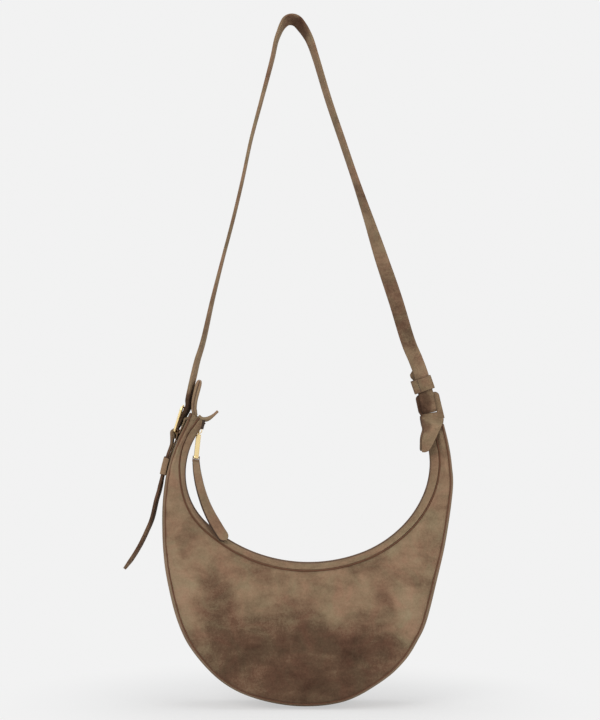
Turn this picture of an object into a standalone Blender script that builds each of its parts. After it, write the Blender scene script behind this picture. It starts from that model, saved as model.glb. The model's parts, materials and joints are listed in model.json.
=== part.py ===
"""Crescent crossbody bag in suede leather, hanging by its adjustable strap.

Metres, +Z up, +X to the right seen from the front, front face towards -Y.
The origin is on the underside of the strap's crown, where a hand or a hook holds the bag.
"""
import math

import bmesh
import bpy
import numpy as np
from mathutils import Vector

# Body of the bag
BAG_WIDTH = 0.302
BAG_HEIGHT = 0.3046
TIP_DROP = 0.407
BAG_SHIFT_SHARE = 0.0606
HALF_DEPTH_MIDDLE = 0.0315
HALF_DEPTH_TIP = 0.0092
MOUTH_HALF_DEPTH_MIDDLE = 0.0165
MOUTH_HALF_DEPTH_TIP = 0.0083
PANEL_CROWN = 0.0045
GUSSET_BULGE_MIDDLE = 0.0058
GUSSET_BULGE_TIP = 0.0016
BASE_FLAT_DEPTH = 0.0012

# Materials' thicknesses and clearances
LEATHER = 0.0016
LINING = 0.0008
GAP = 0.0003
SEAM_GAP = 0.00028

# Mouth: its rim is a chain of tangent arcs, given as shares of the bag's width
MOUTH_BAND = 0.0098
CHANNEL_HALF = 0.0058
CHANNEL_EDGE_RADIUS = 0.0013
ZIP_DEPTH = 0.0034
ZIP_WALL = 0.0018
MOUTH_START_ANGLE = math.radians(135.5)
MOUTH_START_SHARES = (-0.3549, 0.9669)
MOUTH_ARC_SHARES = ((0.2405, 92.8), (0.5218, 61.3), (0.3931, 44.4), (0.2584, 47.2))

# Zip
TAPE = 0.0007
TEETH_INNER = 0.0008
TEETH_WIDTH = 0.0024
TEETH_THICKNESS = 0.0022
STOP_LENGTH = 0.003
SLIDER_LENGTH = 0.0125
SLIDER_WIDTH = 0.0088
SLIDER_PLATE = 0.0011
SLIDER_POST = 0.0010
SLIDER_TRAVEL = math.radians(78.0)
BAIL_RADIUS = 0.0030
BAIL_WIRE = 0.0010
BAIL_STAND = 0.0013

# Puller bar and leather pull tab
PULLER_LENGTH = 0.0280
PULLER_WIDTH = 0.0050
PULLER_THICKNESS = 0.0026
PULLER_HANG = math.radians(264.0)
PULLER_CHEEK = 0.0009
EYE_RADIUS = 0.0019
EYE_PIN = 0.0006
KNUCKLE_CHEEK = 0.0009
KNUCKLE_DEPTH = 0.0036
KNUCKLE_LENGTH = 0.0052
TAB_LENGTH = 0.0890
TAB_WIDTH_TOP = 0.0072
TAB_WIDTH = 0.0122
TAB_LAYER = 0.0013
TAB_TURN = 32.0
TAB_FORWARD = 0.0175

# Strap
STRAP_WIDTH = 0.0150
STRAP_LAYER = 0.0012
STRAP_DROP_SHARE = 0.9912
STRAP_SPREAD_SHARE = 0.8358
TAIL_LENGTH = 0.098

# Right tab, which the strap's end loops through
TAB_PLATE_LAYER = 0.0011
TAB_PLATE_LEFT = 0.0113
TAB_PLATE_RIGHT = 0.0136
TAB_PLATE_RISE = 0.0176
TAB_PLATE_FALL = 0.0093
TAB_CORNER = 0.0045
TAB_LEAN = math.radians(12.0)
SLIT_CLEARANCE = 0.0009
FLAP = 0.0014
ROOT_NECK = 0.0036
ROOT_WIDTH = 0.0085
ROOT_LENGTH = 0.0125
KEEPER = 0.0012
KEEPER_HEIGHT = 0.0142
KEEPER_RISE = 0.0260
FOLD_LENGTH = 0.0425
FOLD_SHIFT = 0.0085
FOLD_BEND = 6
KEEPER_OFFSET_SHARE = 0.12
KEEPER_TILT = math.radians(7.0)

# Buckle on the left
BUCKLE_WIRE = 0.0012
BUCKLE_LENGTH = 0.0268
BUCKLE_SIDE = 0.0009
BUCKLE_DROP = 0.0265
BUCKLE_LEAN = math.radians(15.0)
CHAPE = 0.0012
CHAPE_WIDTH = 0.0134
CHAPE_FOLD = 0.0080
CHAPE_LENGTH = 0.0452
PRONG_WIRE = 0.00075
TAIL_KEEPER_DROP = 0.0362
TAIL_KEEPER_HEIGHT = 0.0175

# Ears at the left horn's tip
EAR_WIDTH = 0.0132
EAR_LAYER = 0.0024
EAR_HEIGHT = 0.0345
LEAF_WIDTH = 0.0120
LEAF_LAYER = 0.0030
LEAF_LENGTH = 0.0287

# Swing of the bag under its strap
SWING_LIMIT = math.radians(45.0)
SWING_SPARE = math.radians(1.5)

# Outline of the gusset's crown from the left horn to the right one:
# shares of the width from the middle, and of the height from the bottom
OUTLINE_SHARES = (
    (-0.405, 1.002), (-0.4255, 0.957), (-0.450, 0.906), (-0.4685, 0.858), (-0.482, 0.810),
    (-0.4915, 0.758), (-0.498, 0.698), (-0.500, 0.6295), (-0.4965, 0.533), (-0.483, 0.4305),
    (-0.448, 0.293), (-0.396, 0.190), (-0.299, 0.0875), (-0.182, 0.029), (-0.026, 0.0017),
    (0.130, 0.019), (0.258, 0.0875), (0.334, 0.156), (0.379, 0.225), (0.410, 0.293),
    (0.445, 0.4305), (0.476, 0.568), (0.500, 0.739), (0.4965, 0.825), (0.486, 0.894),
    (0.469, 0.964),
)
# Mouth band's width along the rim: (share of the rim, share of MOUTH_BAND)
BAND_SHARES = ((0.0, 0.80), (0.035, 0.78), (0.067, 0.72), (0.10, 0.66), (0.157, 0.50), (0.25, 0.64), (0.45, 0.98), (0.7, 0.80),
               (0.85, 0.85), (1.0, 0.98))

# Strap from the slit in the right tab over the crown and down to the buckle:
# (share of the spread, share of the drop, twist in degrees)
STRAP_SHARES = (
    (0.563, 0.958, 0.0), (0.5445, 0.912, 0.0), (0.5205, 0.8705, 0.0), (0.4866, 0.8187, 2.0),
    (0.4368, 0.715, 10.0), (0.381, 0.6114, 30.0), (0.327, 0.5078, 56.0), (0.271, 0.4041, 70.0),
    (0.2153, 0.3005, 72.0), (0.1594, 0.1969, 72.0), (0.1097, 0.0933, 71.0), (0.0849, 0.0466, 66.0),
    (0.0662, 0.0233, 60.0), (0.0497, 0.0078, 54.0), (0.029, -0.0078, 49.0), (0.0041, -0.0143, 47.0),
    (-0.0207, -0.0104, 50.0), (-0.0373, 0.0026, 58.0), (-0.0476, 0.0207, 66.0), (-0.060, 0.0466, 72.0),
    (-0.0745, 0.0933, 78.0), (-0.118, 0.1969, 86.0), (-0.1615, 0.3005, 88.0), (-0.1967, 0.4041, 88.0),
    (-0.236, 0.5078, 88.0), (-0.2795, 0.6114, 88.0), (-0.3209, 0.715, 84.0), (-0.3582, 0.8187, 80.0),
    (-0.383, 0.8705, 80.0), (-0.3995, 0.912, 83.0), (-0.4182, 0.9585, 88.0), (-0.4244, 0.974, 90.0),
)
# The tail's free hang below its keeper, in shares of TAIL_LENGTH
TAIL_SHARES = (
    (-0.034, -0.155), (-0.066, -0.265), (-0.112, -0.460), (-0.170, -0.600), (-0.240, -0.745),
    (-0.325, -0.885), (-0.407, -0.997),
)
# The pull tab's hang below its knuckle, in shares of TAB_LENGTH
TAB_SHARES = ((0.0, 0.0), (0.016, -0.142), (0.052, -0.318), (0.110, -0.494), (0.175, -0.635),
              (0.257, -0.776), (0.357, -0.929))
# The flap's outline over the right horn: rows of (left, right, fall), shares of the tab's width and rise
FLAP_SHARES = ((-0.455, 0.53, 0.05), (-0.41, 0.50, 0.22), (-0.355, 0.424, 0.45), (-0.30, 0.357, 0.69),
               (-0.331, 0.288, 0.95), (-0.355, 0.215, 1.2), (-0.345, 0.108, 1.55), (-0.331, -0.015, 1.85),
               (-0.30, -0.18, 1.98))

# Middle lines of the ear and of the leaf from the horn's tip, in shares of their reach
EAR_SHARES = ((0.128, -0.151), (0.118, 0.03), (0.105, 0.15), (0.128, 0.39), (0.200, 0.693), (0.267, 0.936),
              (0.285, 1.0))
LEAF_SHARES = ((-0.235, 0.282), (-0.109, 0.177), (0.083, 0.191), (0.292, 0.311), (0.473, 0.446))

# Pieces that swing with the bag under its strap
BAG_PIECES = (
    "front_panel", "back_panel", "gusset", "mouth_band_front", "mouth_band_back", "lining_front", "lining_back",
    "lining_gusset", "slip_pocket", "zip_tape_front", "zip_tape_back", "zip_teeth_front", "zip_teeth_back",
    "zip_stop_left", "zip_stop_right", "right_tab_root", "tab_flap_front", "tab_flap_back", "left_ear_outer",
    "left_ear_inner", "left_leaf", "buckle_chape", "buckle_frame", "tail_face", "tail_lining", "tail_keeper",
)

RIM_STEPS = 40
SUEDE = (0.235, 0.165, 0.122, 1.0)
SUEDE_PALE = (0.30, 0.22, 0.165, 1.0)
LINING_COLOUR = (0.16, 0.12, 0.10, 1.0)
GOLD = (0.83, 0.62, 0.30, 1.0)
DARK_TAPE = (0.05, 0.04, 0.035, 1.0)
COIL_BROWN = (0.07, 0.05, 0.04, 1.0)


def clear_scene():
    """Remove whatever the scene holds."""
    for thing in list(bpy.data.objects):
        bpy.data.objects.remove(thing, do_unlink=True)


def material(name, colour, roughness, metallic=0.0):
    """A Principled material, made once for each name."""
    if name in bpy.data.materials:
        return bpy.data.materials[name]
    made = bpy.data.materials.new(name)
    made.use_nodes = True
    shader = made.node_tree.nodes["Principled BSDF"]
    shader.inputs["Base Color"].default_value = colour
    shader.inputs["Roughness"].default_value = roughness
    shader.inputs["Metallic"].default_value = metallic
    made.diffuse_color = colour
    return made


def suede():
    return material("suede", SUEDE, 0.92)


def suede_pale():
    return material("suede_pale", SUEDE_PALE, 0.85)


def lining_cloth():
    return material("lining_cloth", LINING_COLOUR, 0.8)


def coil():
    return material("coil", COIL_BROWN, 0.45)


def gold():
    return material("gold", GOLD, 0.25, 1.0)


def tape_cloth():
    return material("tape_cloth", DARK_TAPE, 0.85)


# Meshes

def new_object(name, bm, finish, smooth_angle=40.0):
    """Put a bmesh in the scene as a named object with one material."""
    bmesh.ops.recalc_face_normals(bm, faces=bm.faces)
    mesh = bpy.data.meshes.new(name)
    bm.to_mesh(mesh)
    bm.free()
    mesh.materials.append(finish)
    mesh.shade_smooth()
    mesh.set_sharp_from_angle(angle=math.radians(smooth_angle))
    made = bpy.data.objects.new(name, mesh)
    bpy.context.scene.collection.objects.link(made)
    return made


def set_origin(thing, place):
    """Move an object's origin to a place without moving its mesh."""
    offset = Vector(place) - thing.location
    for vertex in thing.data.vertices:
        vertex.co -= offset
    thing.location = place


def sheet(name, grid, thickness, finish):
    """A sheet of leather or cloth: an open grid of points given its thickness on both sides."""
    bm = bmesh.new()
    rows = [[bm.verts.new(point) for point in row] for row in grid]
    for row, following in zip(rows, rows[1:]):
        for a, b, c, d in zip(row, row[1:], following[1:], following):
            bm.faces.new((a, b, c, d))
    made = new_object(name, bm, finish)
    wall = made.modifiers.new("thickness", "SOLIDIFY")
    wall.thickness = thickness
    wall.offset = 0.0
    return made


def ringed(name, rings, finish, closed=False):
    """A solid through a row of rings of points, capped at its ends unless it closes on itself."""
    bm = bmesh.new()
    made = [[bm.verts.new(point) for point in ring] for ring in rings]
    pairs = list(zip(made, made[1:]))
    if closed:
        pairs.append((made[-1], made[0]))
    for ring, following in pairs:
        for k in range(len(ring)):
            after = (k + 1) % len(ring)
            bm.faces.new((ring[k], ring[after], following[after], following[k]))
    if not closed:
        bm.faces.new(made[0])
        bm.faces.new(made[-1])
    return new_object(name, bm, finish)


def extruded(name, outline, push, finish):
    """A flat outline pushed along a vector to a closed solid."""
    bm = bmesh.new()
    start = [bm.verts.new(point) for point in outline]
    end = [bm.verts.new(Vector(point) + Vector(push)) for point in outline]
    bm.faces.new(start)
    bm.faces.new(end)
    for k in range(len(start)):
        after = (k + 1) % len(start)
        bm.faces.new((start[k], start[after], end[after], end[k]))
    return new_object(name, bm, finish)


def cut(thing, cutter, operation="DIFFERENCE"):
    """Cut or join a helper shape with the EXACT solver."""
    cutter.hide_render = True
    cutter.display_type = "WIRE"
    step = thing.modifiers.new(cutter.name, "BOOLEAN")
    step.operation = operation
    step.solver = "EXACT"
    step.object = cutter


# Curves

def smooth_through(points, count):
    """A Catmull-Rom curve through points of any size, at equal steps along its length."""
    points = np.array(points, float)
    ends = np.vstack([2 * points[0] - points[1], points, 2 * points[-1] - points[-2]])
    dense = []
    for k in range(1, len(ends) - 2):
        before, a, b, after = ends[k - 1:k + 3]
        for t in np.linspace(0.0, 1.0, 24, endpoint=k == len(ends) - 3):
            dense.append(0.5 * (2 * a + (b - before) * t + (2 * before - 5 * a + 4 * b - after) * t**2
                                + (3 * a - before - 3 * b + after) * t**3))
    return even_steps(np.array(dense), count)


def even_steps(dense, count, places=3):
    """Pick points at equal steps along a dense line; length is measured in its first coordinates."""
    along = np.concatenate([[0.0], np.cumsum(np.linalg.norm(np.diff(dense[:, :places], axis=0), axis=1))])
    wanted = np.linspace(0.0, along[-1], count)
    return np.column_stack([np.interp(wanted, along, dense[:, c]) for c in range(dense.shape[1])])


def tangents(points):
    """Unit directions along a line of points."""
    steps = np.gradient(points, axis=0)
    return steps / np.linalg.norm(steps, axis=1)[:, None]


def shares_at(table, places):
    """Read a table of (place share, value share) at places from 0 to 1."""
    table = np.array(table)
    return np.interp(places, table[:, 0], table[:, 1])


# Lines that the whole bag follows

def bag_point(width_share, height_share):
    """A point of the bag's middle plane from shares of its width and height."""
    bottom = -TIP_DROP - BAG_HEIGHT
    return np.array([(BAG_SHIFT_SHARE + width_share) * BAG_WIDTH, bottom + height_share * BAG_HEIGHT])


def mouth_centre():
    """Centre of the rim's first arc, which the zip slider turns about."""
    ray = np.array([math.cos(MOUTH_START_ANGLE), math.sin(MOUTH_START_ANGLE)])
    return bag_point(*MOUTH_START_SHARES) - ray * (MOUTH_ARC_SHARES[0][0] * BAG_WIDTH)


def rim_line(count, shift=0.0):
    """The rim as tangent arcs, moved outwards by a shift: points and outward unit normals."""
    centre = mouth_centre()
    angle = MOUTH_START_ANGLE
    radius = MOUTH_ARC_SHARES[0][0] * BAG_WIDTH
    dense = []
    for share, sweep in MOUTH_ARC_SHARES:
        ray = np.array([math.cos(angle), math.sin(angle)])
        centre = centre + ray * (radius - share * BAG_WIDTH)
        radius = share * BAG_WIDTH
        for turn in np.linspace(angle, angle + math.radians(sweep), 60):
            ray = np.array([math.cos(turn), math.sin(turn)])
            dense.append([*(centre + ray * (radius + shift)), *ray])
        angle += math.radians(sweep)
    even = even_steps(np.array(dense), count, 2)
    normals = even[:, 2:] / np.linalg.norm(even[:, 2:], axis=1)[:, None]
    return even[:, :2], normals


def outline_line(count):
    """The gusset's crown in the middle plane."""
    return smooth_through([bag_point(*share) for share in OUTLINE_SHARES], count)


def swell(places):
    """How far along each place is from tip (0) to the full middle (1)."""
    return np.sin(np.pi * np.clip(places, 0.0, 1.0)) ** 0.8


class Shell:
    """The bag's cross-sections: every leather panel and lining takes its surface from here."""

    def __init__(self, count, start=0.0, end=1.0):
        line = 4 * RIM_STEPS + 1
        places = np.linspace(0.0, 1.0, line)
        rim, normals = rim_line(line)
        crown = outline_line(line)
        pick = np.linspace(start, end, count)
        at = lambda table: np.column_stack([np.interp(pick, places, column) for column in table.T])
        self.places = pick
        self.rim = at(rim)
        self.normal = at(normals)
        self.crown = at(crown)
        grown = swell(pick)
        self.half_depth = HALF_DEPTH_TIP + (HALF_DEPTH_MIDDLE - HALF_DEPTH_TIP) * grown
        self.mouth_half = MOUTH_HALF_DEPTH_TIP + (MOUTH_HALF_DEPTH_MIDDLE - MOUTH_HALF_DEPTH_TIP) * grown
        self.bulge = GUSSET_BULGE_TIP + (GUSSET_BULGE_MIDDLE - GUSSET_BULGE_TIP) * grown
        self.across = self.crown - self.rim
        reach = np.linalg.norm(self.across, axis=1)
        self.band = np.minimum(MOUTH_BAND * shares_at(BAND_SHARES, pick), 0.45 * reach)
        heading = tangents(crown)
        facing = at(np.column_stack([heading[:, 1], -heading[:, 0]]))
        self.outward = facing / np.linalg.norm(facing, axis=1)[:, None]
        self.mouth_seam = self.rim + self.normal * self.band[:, None]
        self.outer_seam = self.crown - self.outward * self.bulge[:, None]
        self.panel_reach = np.linalg.norm(self.outer_seam - self.mouth_seam, axis=1)

    def panel(self, side, steps, inset, sunk=0.0, top=0.0, foot=0.0):
        """Rows of a main panel from the mouth seam to the outer seam, sunk towards the middle."""
        rows = []
        for k in range(len(self.places)):
            reach = self.panel_reach[k]
            first = (inset + top) / reach
            last = 1.0 - (inset + foot) / reach
            crown = min(PANEL_CROWN, 0.06 * reach)
            row = []
            for share in np.linspace(first, last, steps):
                x, z = self.mouth_seam[k] + (self.outer_seam[k] - self.mouth_seam[k]) * share
                depth = self.mouth_half[k] + (self.half_depth[k] - self.mouth_half[k]) * math.sin(
                    share * math.pi / 2)
                depth += crown * math.sin(math.pi * share) - sunk
                row.append((x, side * depth, z))
            rows.append(row)
        return rows

    def gusset(self, steps, inset, sunk=0.0):
        """Rows of the gusset from its front seam round the crown to its back seam."""
        rows = []
        for k in range(len(self.places)):
            half = self.half_depth[k] - inset
            row = []
            for share in np.linspace(-1.0, 1.0, steps):
                reach = self.bulge[k] * (1.0 - share**2) - sunk
                x, z = self.outer_seam[k] + self.outward[k] * reach
                row.append((x, share * half, z))
            rows.append(row)
        return rows

    def band_rows(self, side, inset):
        """Rows of a mouth band: up the zip channel's wall, over the turned edge, down to the seam."""
        rows = []
        edge = CHANNEL_EDGE_RADIUS
        for k in range(len(self.places)):
            profile = [(ZIP_DEPTH + ZIP_WALL, CHANNEL_HALF), (edge, CHANNEL_HALF)]
            for turn in (45.0, 90.0):
                bend = math.radians(turn)
                profile.append((edge - edge * math.sin(bend), CHANNEL_HALF + edge - edge * math.cos(bend)))
            start = np.array(profile[-1])
            seam = np.array([self.band[k], self.mouth_half[k]])
            run = np.linalg.norm(seam - start)
            for share in (0.5, 1.0 - inset / run):
                profile.append(tuple(start + (seam - start) * share))
            row = []
            for inward, depth in profile:
                x, z = self.rim[k] + self.normal[k] * inward
                row.append((x, side * depth, z))
            rows.append(row)
        return rows


# Leather body

def build_panels():
    """Front and back panels of the crescent."""
    shell = Shell(RIM_STEPS)
    inset = LEATHER / 2 + SEAM_GAP
    sheet("front_panel", shell.panel(-1, 7, inset), LEATHER, suede())
    sheet("back_panel", shell.panel(1, 7, inset), LEATHER, suede())


def build_gusset():
    """One long strip round the outside, with a small flat where the bag rests."""
    shell = Shell(RIM_STEPS)
    strip = sheet("gusset", shell.gusset(7, LEATHER / 2 + SEAM_GAP), LEATHER, suede_pale())
    floor = -TIP_DROP - BAG_HEIGHT - LEATHER / 2 + BASE_FLAT_DEPTH
    axes = (Vector((1.0, 0.0, 0.0)), Vector((0.0, 1.0, 0.0)), Vector((0.0, 0.0, 1.0)))
    deep = 2 * HALF_DEPTH_MIDDLE
    ground = block("gusset_ground", Vector((BAG_SHIFT_SHARE * BAG_WIDTH, 0.0, floor - deep / 2)), axes,
                   (BAG_WIDTH, 2 * deep, deep), suede_pale())
    cut(strip, ground)


def build_mouth_bands():
    """The pale bands either side of the zip."""
    shell = Shell(RIM_STEPS)
    for name, side in (("mouth_band_front", -1), ("mouth_band_back", 1)):
        sheet(name, shell.band_rows(side, LEATHER / 2 + SEAM_GAP), LEATHER, suede_pale())


def build_linings():
    """The cloth pouch inside the shell."""
    shell = Shell(30, 0.13, 0.87)
    sunk = LEATHER / 2 + 2 * GAP + LINING / 2
    inset = LINING / 2 + SEAM_GAP
    for name, side in (("lining_front", -1), ("lining_back", 1)):
        rows = shell.panel(side, 6, inset, sunk + GAP, ZIP_DEPTH, LEATHER + LINING)
        sheet(name, rows, LINING, lining_cloth())
    sheet("lining_gusset", shell.gusset(5, LEATHER + LINING + 4 * GAP, sunk + GAP), LINING, lining_cloth())


def build_pocket():
    """A flat slip pocket sewn on the back lining."""
    shell = Shell(10, 0.38, 0.64)
    sunk = LEATHER / 2 + 5 * GAP + 3 * LINING / 2
    reach = shell.panel_reach.mean()
    rows = shell.panel(1, 5, LINING, sunk + GAP, 0.16 * reach, 0.22 * reach)
    sheet("slip_pocket", rows, LINING, lining_cloth())


# Zip

def strip_rows(count, inner, outer, depth, side, steps=2):
    """Rows of a strip that follows the rim at a depth between the zip's two stops."""
    dense, _ = rim_line(8 * RIM_STEPS, depth)
    spacing = np.linalg.norm(dense[1] - dense[0])
    skip = math.ceil((STOP_LENGTH + 2 * GAP) / spacing)
    line = even_steps(dense[skip:-skip], count, 2)
    return [[(x, side * y, z) for y in np.linspace(inner, outer, steps)] for x, z in line]


def build_zip():
    """Two tapes and two rows of teeth along the rim, with a stop at each end."""
    inner = TEETH_INNER + TEETH_WIDTH + GAP
    outer = CHANNEL_HALF - LEATHER / 2 - GAP
    for name, side in (("front", -1), ("back", 1)):
        sheet(f"zip_tape_{name}", strip_rows(RIM_STEPS, inner, outer, ZIP_DEPTH, side), TAPE, tape_cloth())
        build_teeth(f"zip_teeth_{name}", side)
    build_stop("zip_stop_left", 0)
    build_stop("zip_stop_right", -1)


def build_teeth(name, side):
    """One row of teeth as a rail, from one stop to the other."""
    outer = TEETH_INNER + TEETH_WIDTH
    count = 3 * RIM_STEPS // 2
    low = strip_rows(count, TEETH_INNER, outer, ZIP_DEPTH - TEETH_THICKNESS / 2, side)
    high = strip_rows(count, TEETH_INNER, outer, ZIP_DEPTH + TEETH_THICKNESS / 2, side)
    rings = [[a[0], a[1], b[1], b[0]] for a, b in zip(low, high)]
    ringed(name, rings, coil())


def build_stop(name, end):
    """A small block across the channel that closes one end of the zip."""
    line, normals = rim_line(8 * RIM_STEPS, ZIP_DEPTH)
    away = 1 if end == 0 else -1
    along = flat(line[end + away] - line[end]).normalized()
    out = flat(normals[end])
    wide = Vector((0.0, CHANNEL_HALF - LEATHER / 2 - GAP, 0.0))
    near = flat(line[end]) + along * GAP
    far = near + along * (STOP_LENGTH - GAP)
    rise = out * (TEETH_THICKNESS / 2)
    extruded(name, [near - rise - wide, far - rise - wide, far + rise - wide, near + rise - wide],
             2 * wide, tape_cloth())


def flat(pair, depth=0.0):
    """A point or direction of the middle plane as a 3D vector."""
    return Vector((float(pair[0]), depth, float(pair[1])))


def arc_block(name, centre, radii, angles, half_width, finish, steps=6):
    """A plate bent round a centre in the middle plane."""
    rings = []
    for angle in np.linspace(*angles, steps):
        ray = flat((math.cos(angle), math.sin(angle)))
        wide = Vector((0.0, half_width, 0.0))
        low = centre + ray * radii[0]
        high = centre + ray * radii[1]
        rings.append([low - wide, low + wide, high + wide, high - wide])
    return ringed(name, rings, finish)


def rod(name, points, radius, finish, sides=8, closed=False):
    """A round wire along a line of points, without twist."""
    points = [Vector(point) for point in points]
    count = len(points)
    headings = []
    for k in range(count):
        before = points[k - 1] if closed or k else points[0]
        after = points[(k + 1) % count] if closed or k < count - 1 else points[-1]
        headings.append((after - before).normalized())
    spread = max((Vector((1, 0, 0)), Vector((0, 1, 0)), Vector((0, 0, 1))),
                 key=lambda axis: sum(heading.cross(axis).length for heading in headings[:2]))
    side = headings[0].cross(spread).normalized()
    rings = []
    for point, heading in zip(points, headings):
        side = (side - heading * side.dot(heading)).normalized()
        other = heading.cross(side)
        turns = [2 * math.pi * k / sides for k in range(sides)]
        rings.append([point + side * (radius * math.cos(t)) + other * (radius * math.sin(t)) for t in turns])
    return ringed(name, rings, finish, closed)


def block(name, centre, axes, sizes, finish):
    """A box of full sizes along three axes."""
    a, b, c = (Vector(axis) * size for axis, size in zip(axes, sizes))
    start = centre - (a + b + c) / 2
    return extruded(name, [start, start + a, start + a + b, start + b], c, finish)


def slider_frame():
    """The zip slider's place: the arc's centre, its angle, the zip's radius and the bail's pivot."""
    centre = flat(mouth_centre())
    zip_radius = MOUTH_ARC_SHARES[0][0] * BAG_WIDTH + ZIP_DEPTH
    half = SLIDER_LENGTH / 2 / zip_radius
    angle = MOUTH_START_ANGLE + (STOP_LENGTH + 4 * GAP) / zip_radius + half
    top = zip_radius - TEETH_THICKNESS / 2 - GAP - SLIDER_PLATE
    ray = flat((math.cos(angle), math.sin(angle)))
    pivot = centre + ray * (top - BAIL_STAND)
    return centre, angle, half, zip_radius, top, ray, pivot


def build_slider():
    """The slider: two plates astride the teeth, a post between them and a round bail."""
    centre, angle, half, zip_radius, top, ray, pivot = slider_frame()
    angles = (angle - half, angle + half)
    below = zip_radius + TEETH_THICKNESS / 2 + GAP
    slider = arc_block("zip_slider", centre, (top, top + SLIDER_PLATE), angles, SLIDER_WIDTH / 2, gold())
    under = arc_block("slider_under", centre, (below, below + SLIDER_PLATE), angles, SLIDER_WIDTH / 2, gold())
    sink = SLIDER_PLATE / 2
    post = arc_block("slider_post", centre, (top + sink, below + sink),
                     (angle - half / 4, angle + half / 4), SLIDER_POST / 2, gold(), 3)
    along = Vector((-ray.z, 0.0, ray.x))
    leg = ray * (BAIL_STAND + sink)
    arch = [pivot + along * BAIL_RADIUS + leg]
    for k in range(9):
        turn = math.pi * k / 8
        arch.append(pivot + along * (BAIL_RADIUS * math.cos(turn)) - ray * (BAIL_RADIUS * math.sin(turn)))
    arch.append(pivot - along * BAIL_RADIUS + leg)
    bail = rod("slider_bail", arch, BAIL_WIRE / 2, gold(), 6)
    for helper in (under, post, bail):
        cut(slider, helper, "UNION")
    return slider


def puller_frame():
    """The puller's pivot, the way it hangs, its sideways axis and the pull tab's pivot."""
    pivot = slider_frame()[-1]
    hang = flat((math.cos(PULLER_HANG), math.sin(PULLER_HANG)))
    aside = Vector((-hang.z, 0.0, hang.x))
    return pivot, hang, aside, pivot + hang * PULLER_LENGTH


def build_puller():
    """The gold bar: a fork round the bail, a crossbar in it, and an eye at its foot."""
    pivot, hang, aside, foot = puller_frame()
    depth = Vector((0.0, 1.0, 0.0))
    axes = (hang, aside, depth)
    head = BAIL_RADIUS + BAIL_WIRE / 2 + GAP + GAP
    fork = BAIL_WIRE / 2 + GAP + PULLER_CHEEK
    low = PULLER_LENGTH - 0.65 * EYE_RADIUS
    bar = block("zip_puller", pivot + hang * (head + low) / 2, axes,
                (low - head, PULLER_WIDTH, 2 * fork + GAP), gold())
    bevel = bar.modifiers.new("edges", "BEVEL")
    bevel.width = PULLER_CHEEK / 3
    bevel.segments = 1
    for side in (-1, 1):
        middle = pivot + hang * (head / 2) + depth * (side * (fork - PULLER_CHEEK / 2))
        cheek = block(f"puller_cheek_{side + 1}", middle, axes,
                      (head + 1.4 * BAIL_WIRE, 1.4 * BAIL_WIRE, PULLER_CHEEK), gold())
        cut(bar, cheek, "UNION")
    pin = rod("puller_pin", [pivot - depth * (fork - PULLER_CHEEK / 2), pivot + depth * (fork - PULLER_CHEEK / 2)],
              BAIL_WIRE / 2, gold())
    cut(bar, pin, "UNION")
    half = aside * (0.47 * PULLER_WIDTH)
    eye = rod("puller_eye", [foot - half, foot + half], EYE_RADIUS, gold(), 12)
    cut(bar, eye, "UNION")
    bore = rod("puller_bore", [foot - 2 * half, foot + 2 * half], EYE_PIN + GAP, gold(), 12)
    cut(bar, bore)
    return bar


def build_knuckle():
    """The knuckle that grips the leather: two cheeks beside the eye and a pin through it."""
    pivot, hang, aside, foot = puller_frame()
    depth = Vector((0.0, 1.0, 0.0))
    axes = (hang, aside, depth)
    start = EYE_RADIUS + GAP
    wide = PULLER_WIDTH + 2 * GAP + 2 * KNUCKLE_CHEEK
    knuckle = block("pull_knuckle", foot + hang * (start + KNUCKLE_LENGTH / 2), axes,
                    (KNUCKLE_LENGTH, wide, KNUCKLE_DEPTH), suede())
    reach = start + KNUCKLE_LENGTH / 2 + EYE_PIN * 2
    for side in (-1, 1):
        middle = foot + hang * (reach / 2 - EYE_PIN * 2) + aside * (side * (wide - KNUCKLE_CHEEK) / 2)
        cheek = block(f"knuckle_cheek_{side + 1}", middle, axes, (reach, KNUCKLE_CHEEK, KNUCKLE_DEPTH * 0.8), suede())
        cut(knuckle, cheek, "UNION")
    half = aside * ((wide - KNUCKLE_CHEEK) / 2)
    cut(knuckle, rod("knuckle_pin", [foot - half, foot + half], EYE_PIN, suede()), "UNION")
    slot = block("knuckle_slot", foot + hang * (start + KNUCKLE_LENGTH), axes,
                 (KNUCKLE_LENGTH, 2 * wide, 2 * TAB_LAYER + 4 * GAP), suede())
    cut(knuckle, slot)
    return knuckle


def build_pull_tab():
    """Two layers of leather from the knuckle down across the front band."""
    pivot, hang, aside, foot = puller_frame()
    start = foot + hang * (EYE_RADIUS + KNUCKLE_LENGTH / 2 + TAB_WIDTH_TOP / 6)
    rows = []
    for across, fall in TAB_SHARES:
        forward = -TAB_FORWARD * min(1.0, abs(fall)) ** 1.3
        rows.append((start.x + across * TAB_LENGTH, forward, start.z + fall * TAB_LENGTH))
    line = smooth_through(rows, 20)
    heading = tangents(line)
    places = np.linspace(0.0, 1.0, len(line))
    wide = []
    half = []
    for place, way in zip(places, heading):
        turn = math.radians(TAB_TURN) * min(1.0, max(0.0, place - 0.07) / 0.35)
        level = Vector((-way[2], 0.0, way[0])).normalized()
        wide.append(level * math.cos(turn) + Vector((0.0, math.sin(turn), 0.0)))
        grown = TAB_WIDTH_TOP + (TAB_WIDTH - TAB_WIDTH_TOP) * min(1.0, place / 0.75)
        from_tip = (1.0 - place) * TAB_LENGTH
        rounding = math.sqrt(max(0.02, 1.0 - (1.0 - min(1.0, from_tip / (TAB_WIDTH / 2))) ** 2))
        half.append(grown / 2 * rounding)
    shift = (TAB_LAYER + GAP) / 2
    ribbon("pull_tab_front", line, wide, half, TAB_LAYER, -shift, suede())
    ribbon("pull_tab_back", line, wide, half, TAB_LAYER, shift, suede())


# Strap

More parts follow.
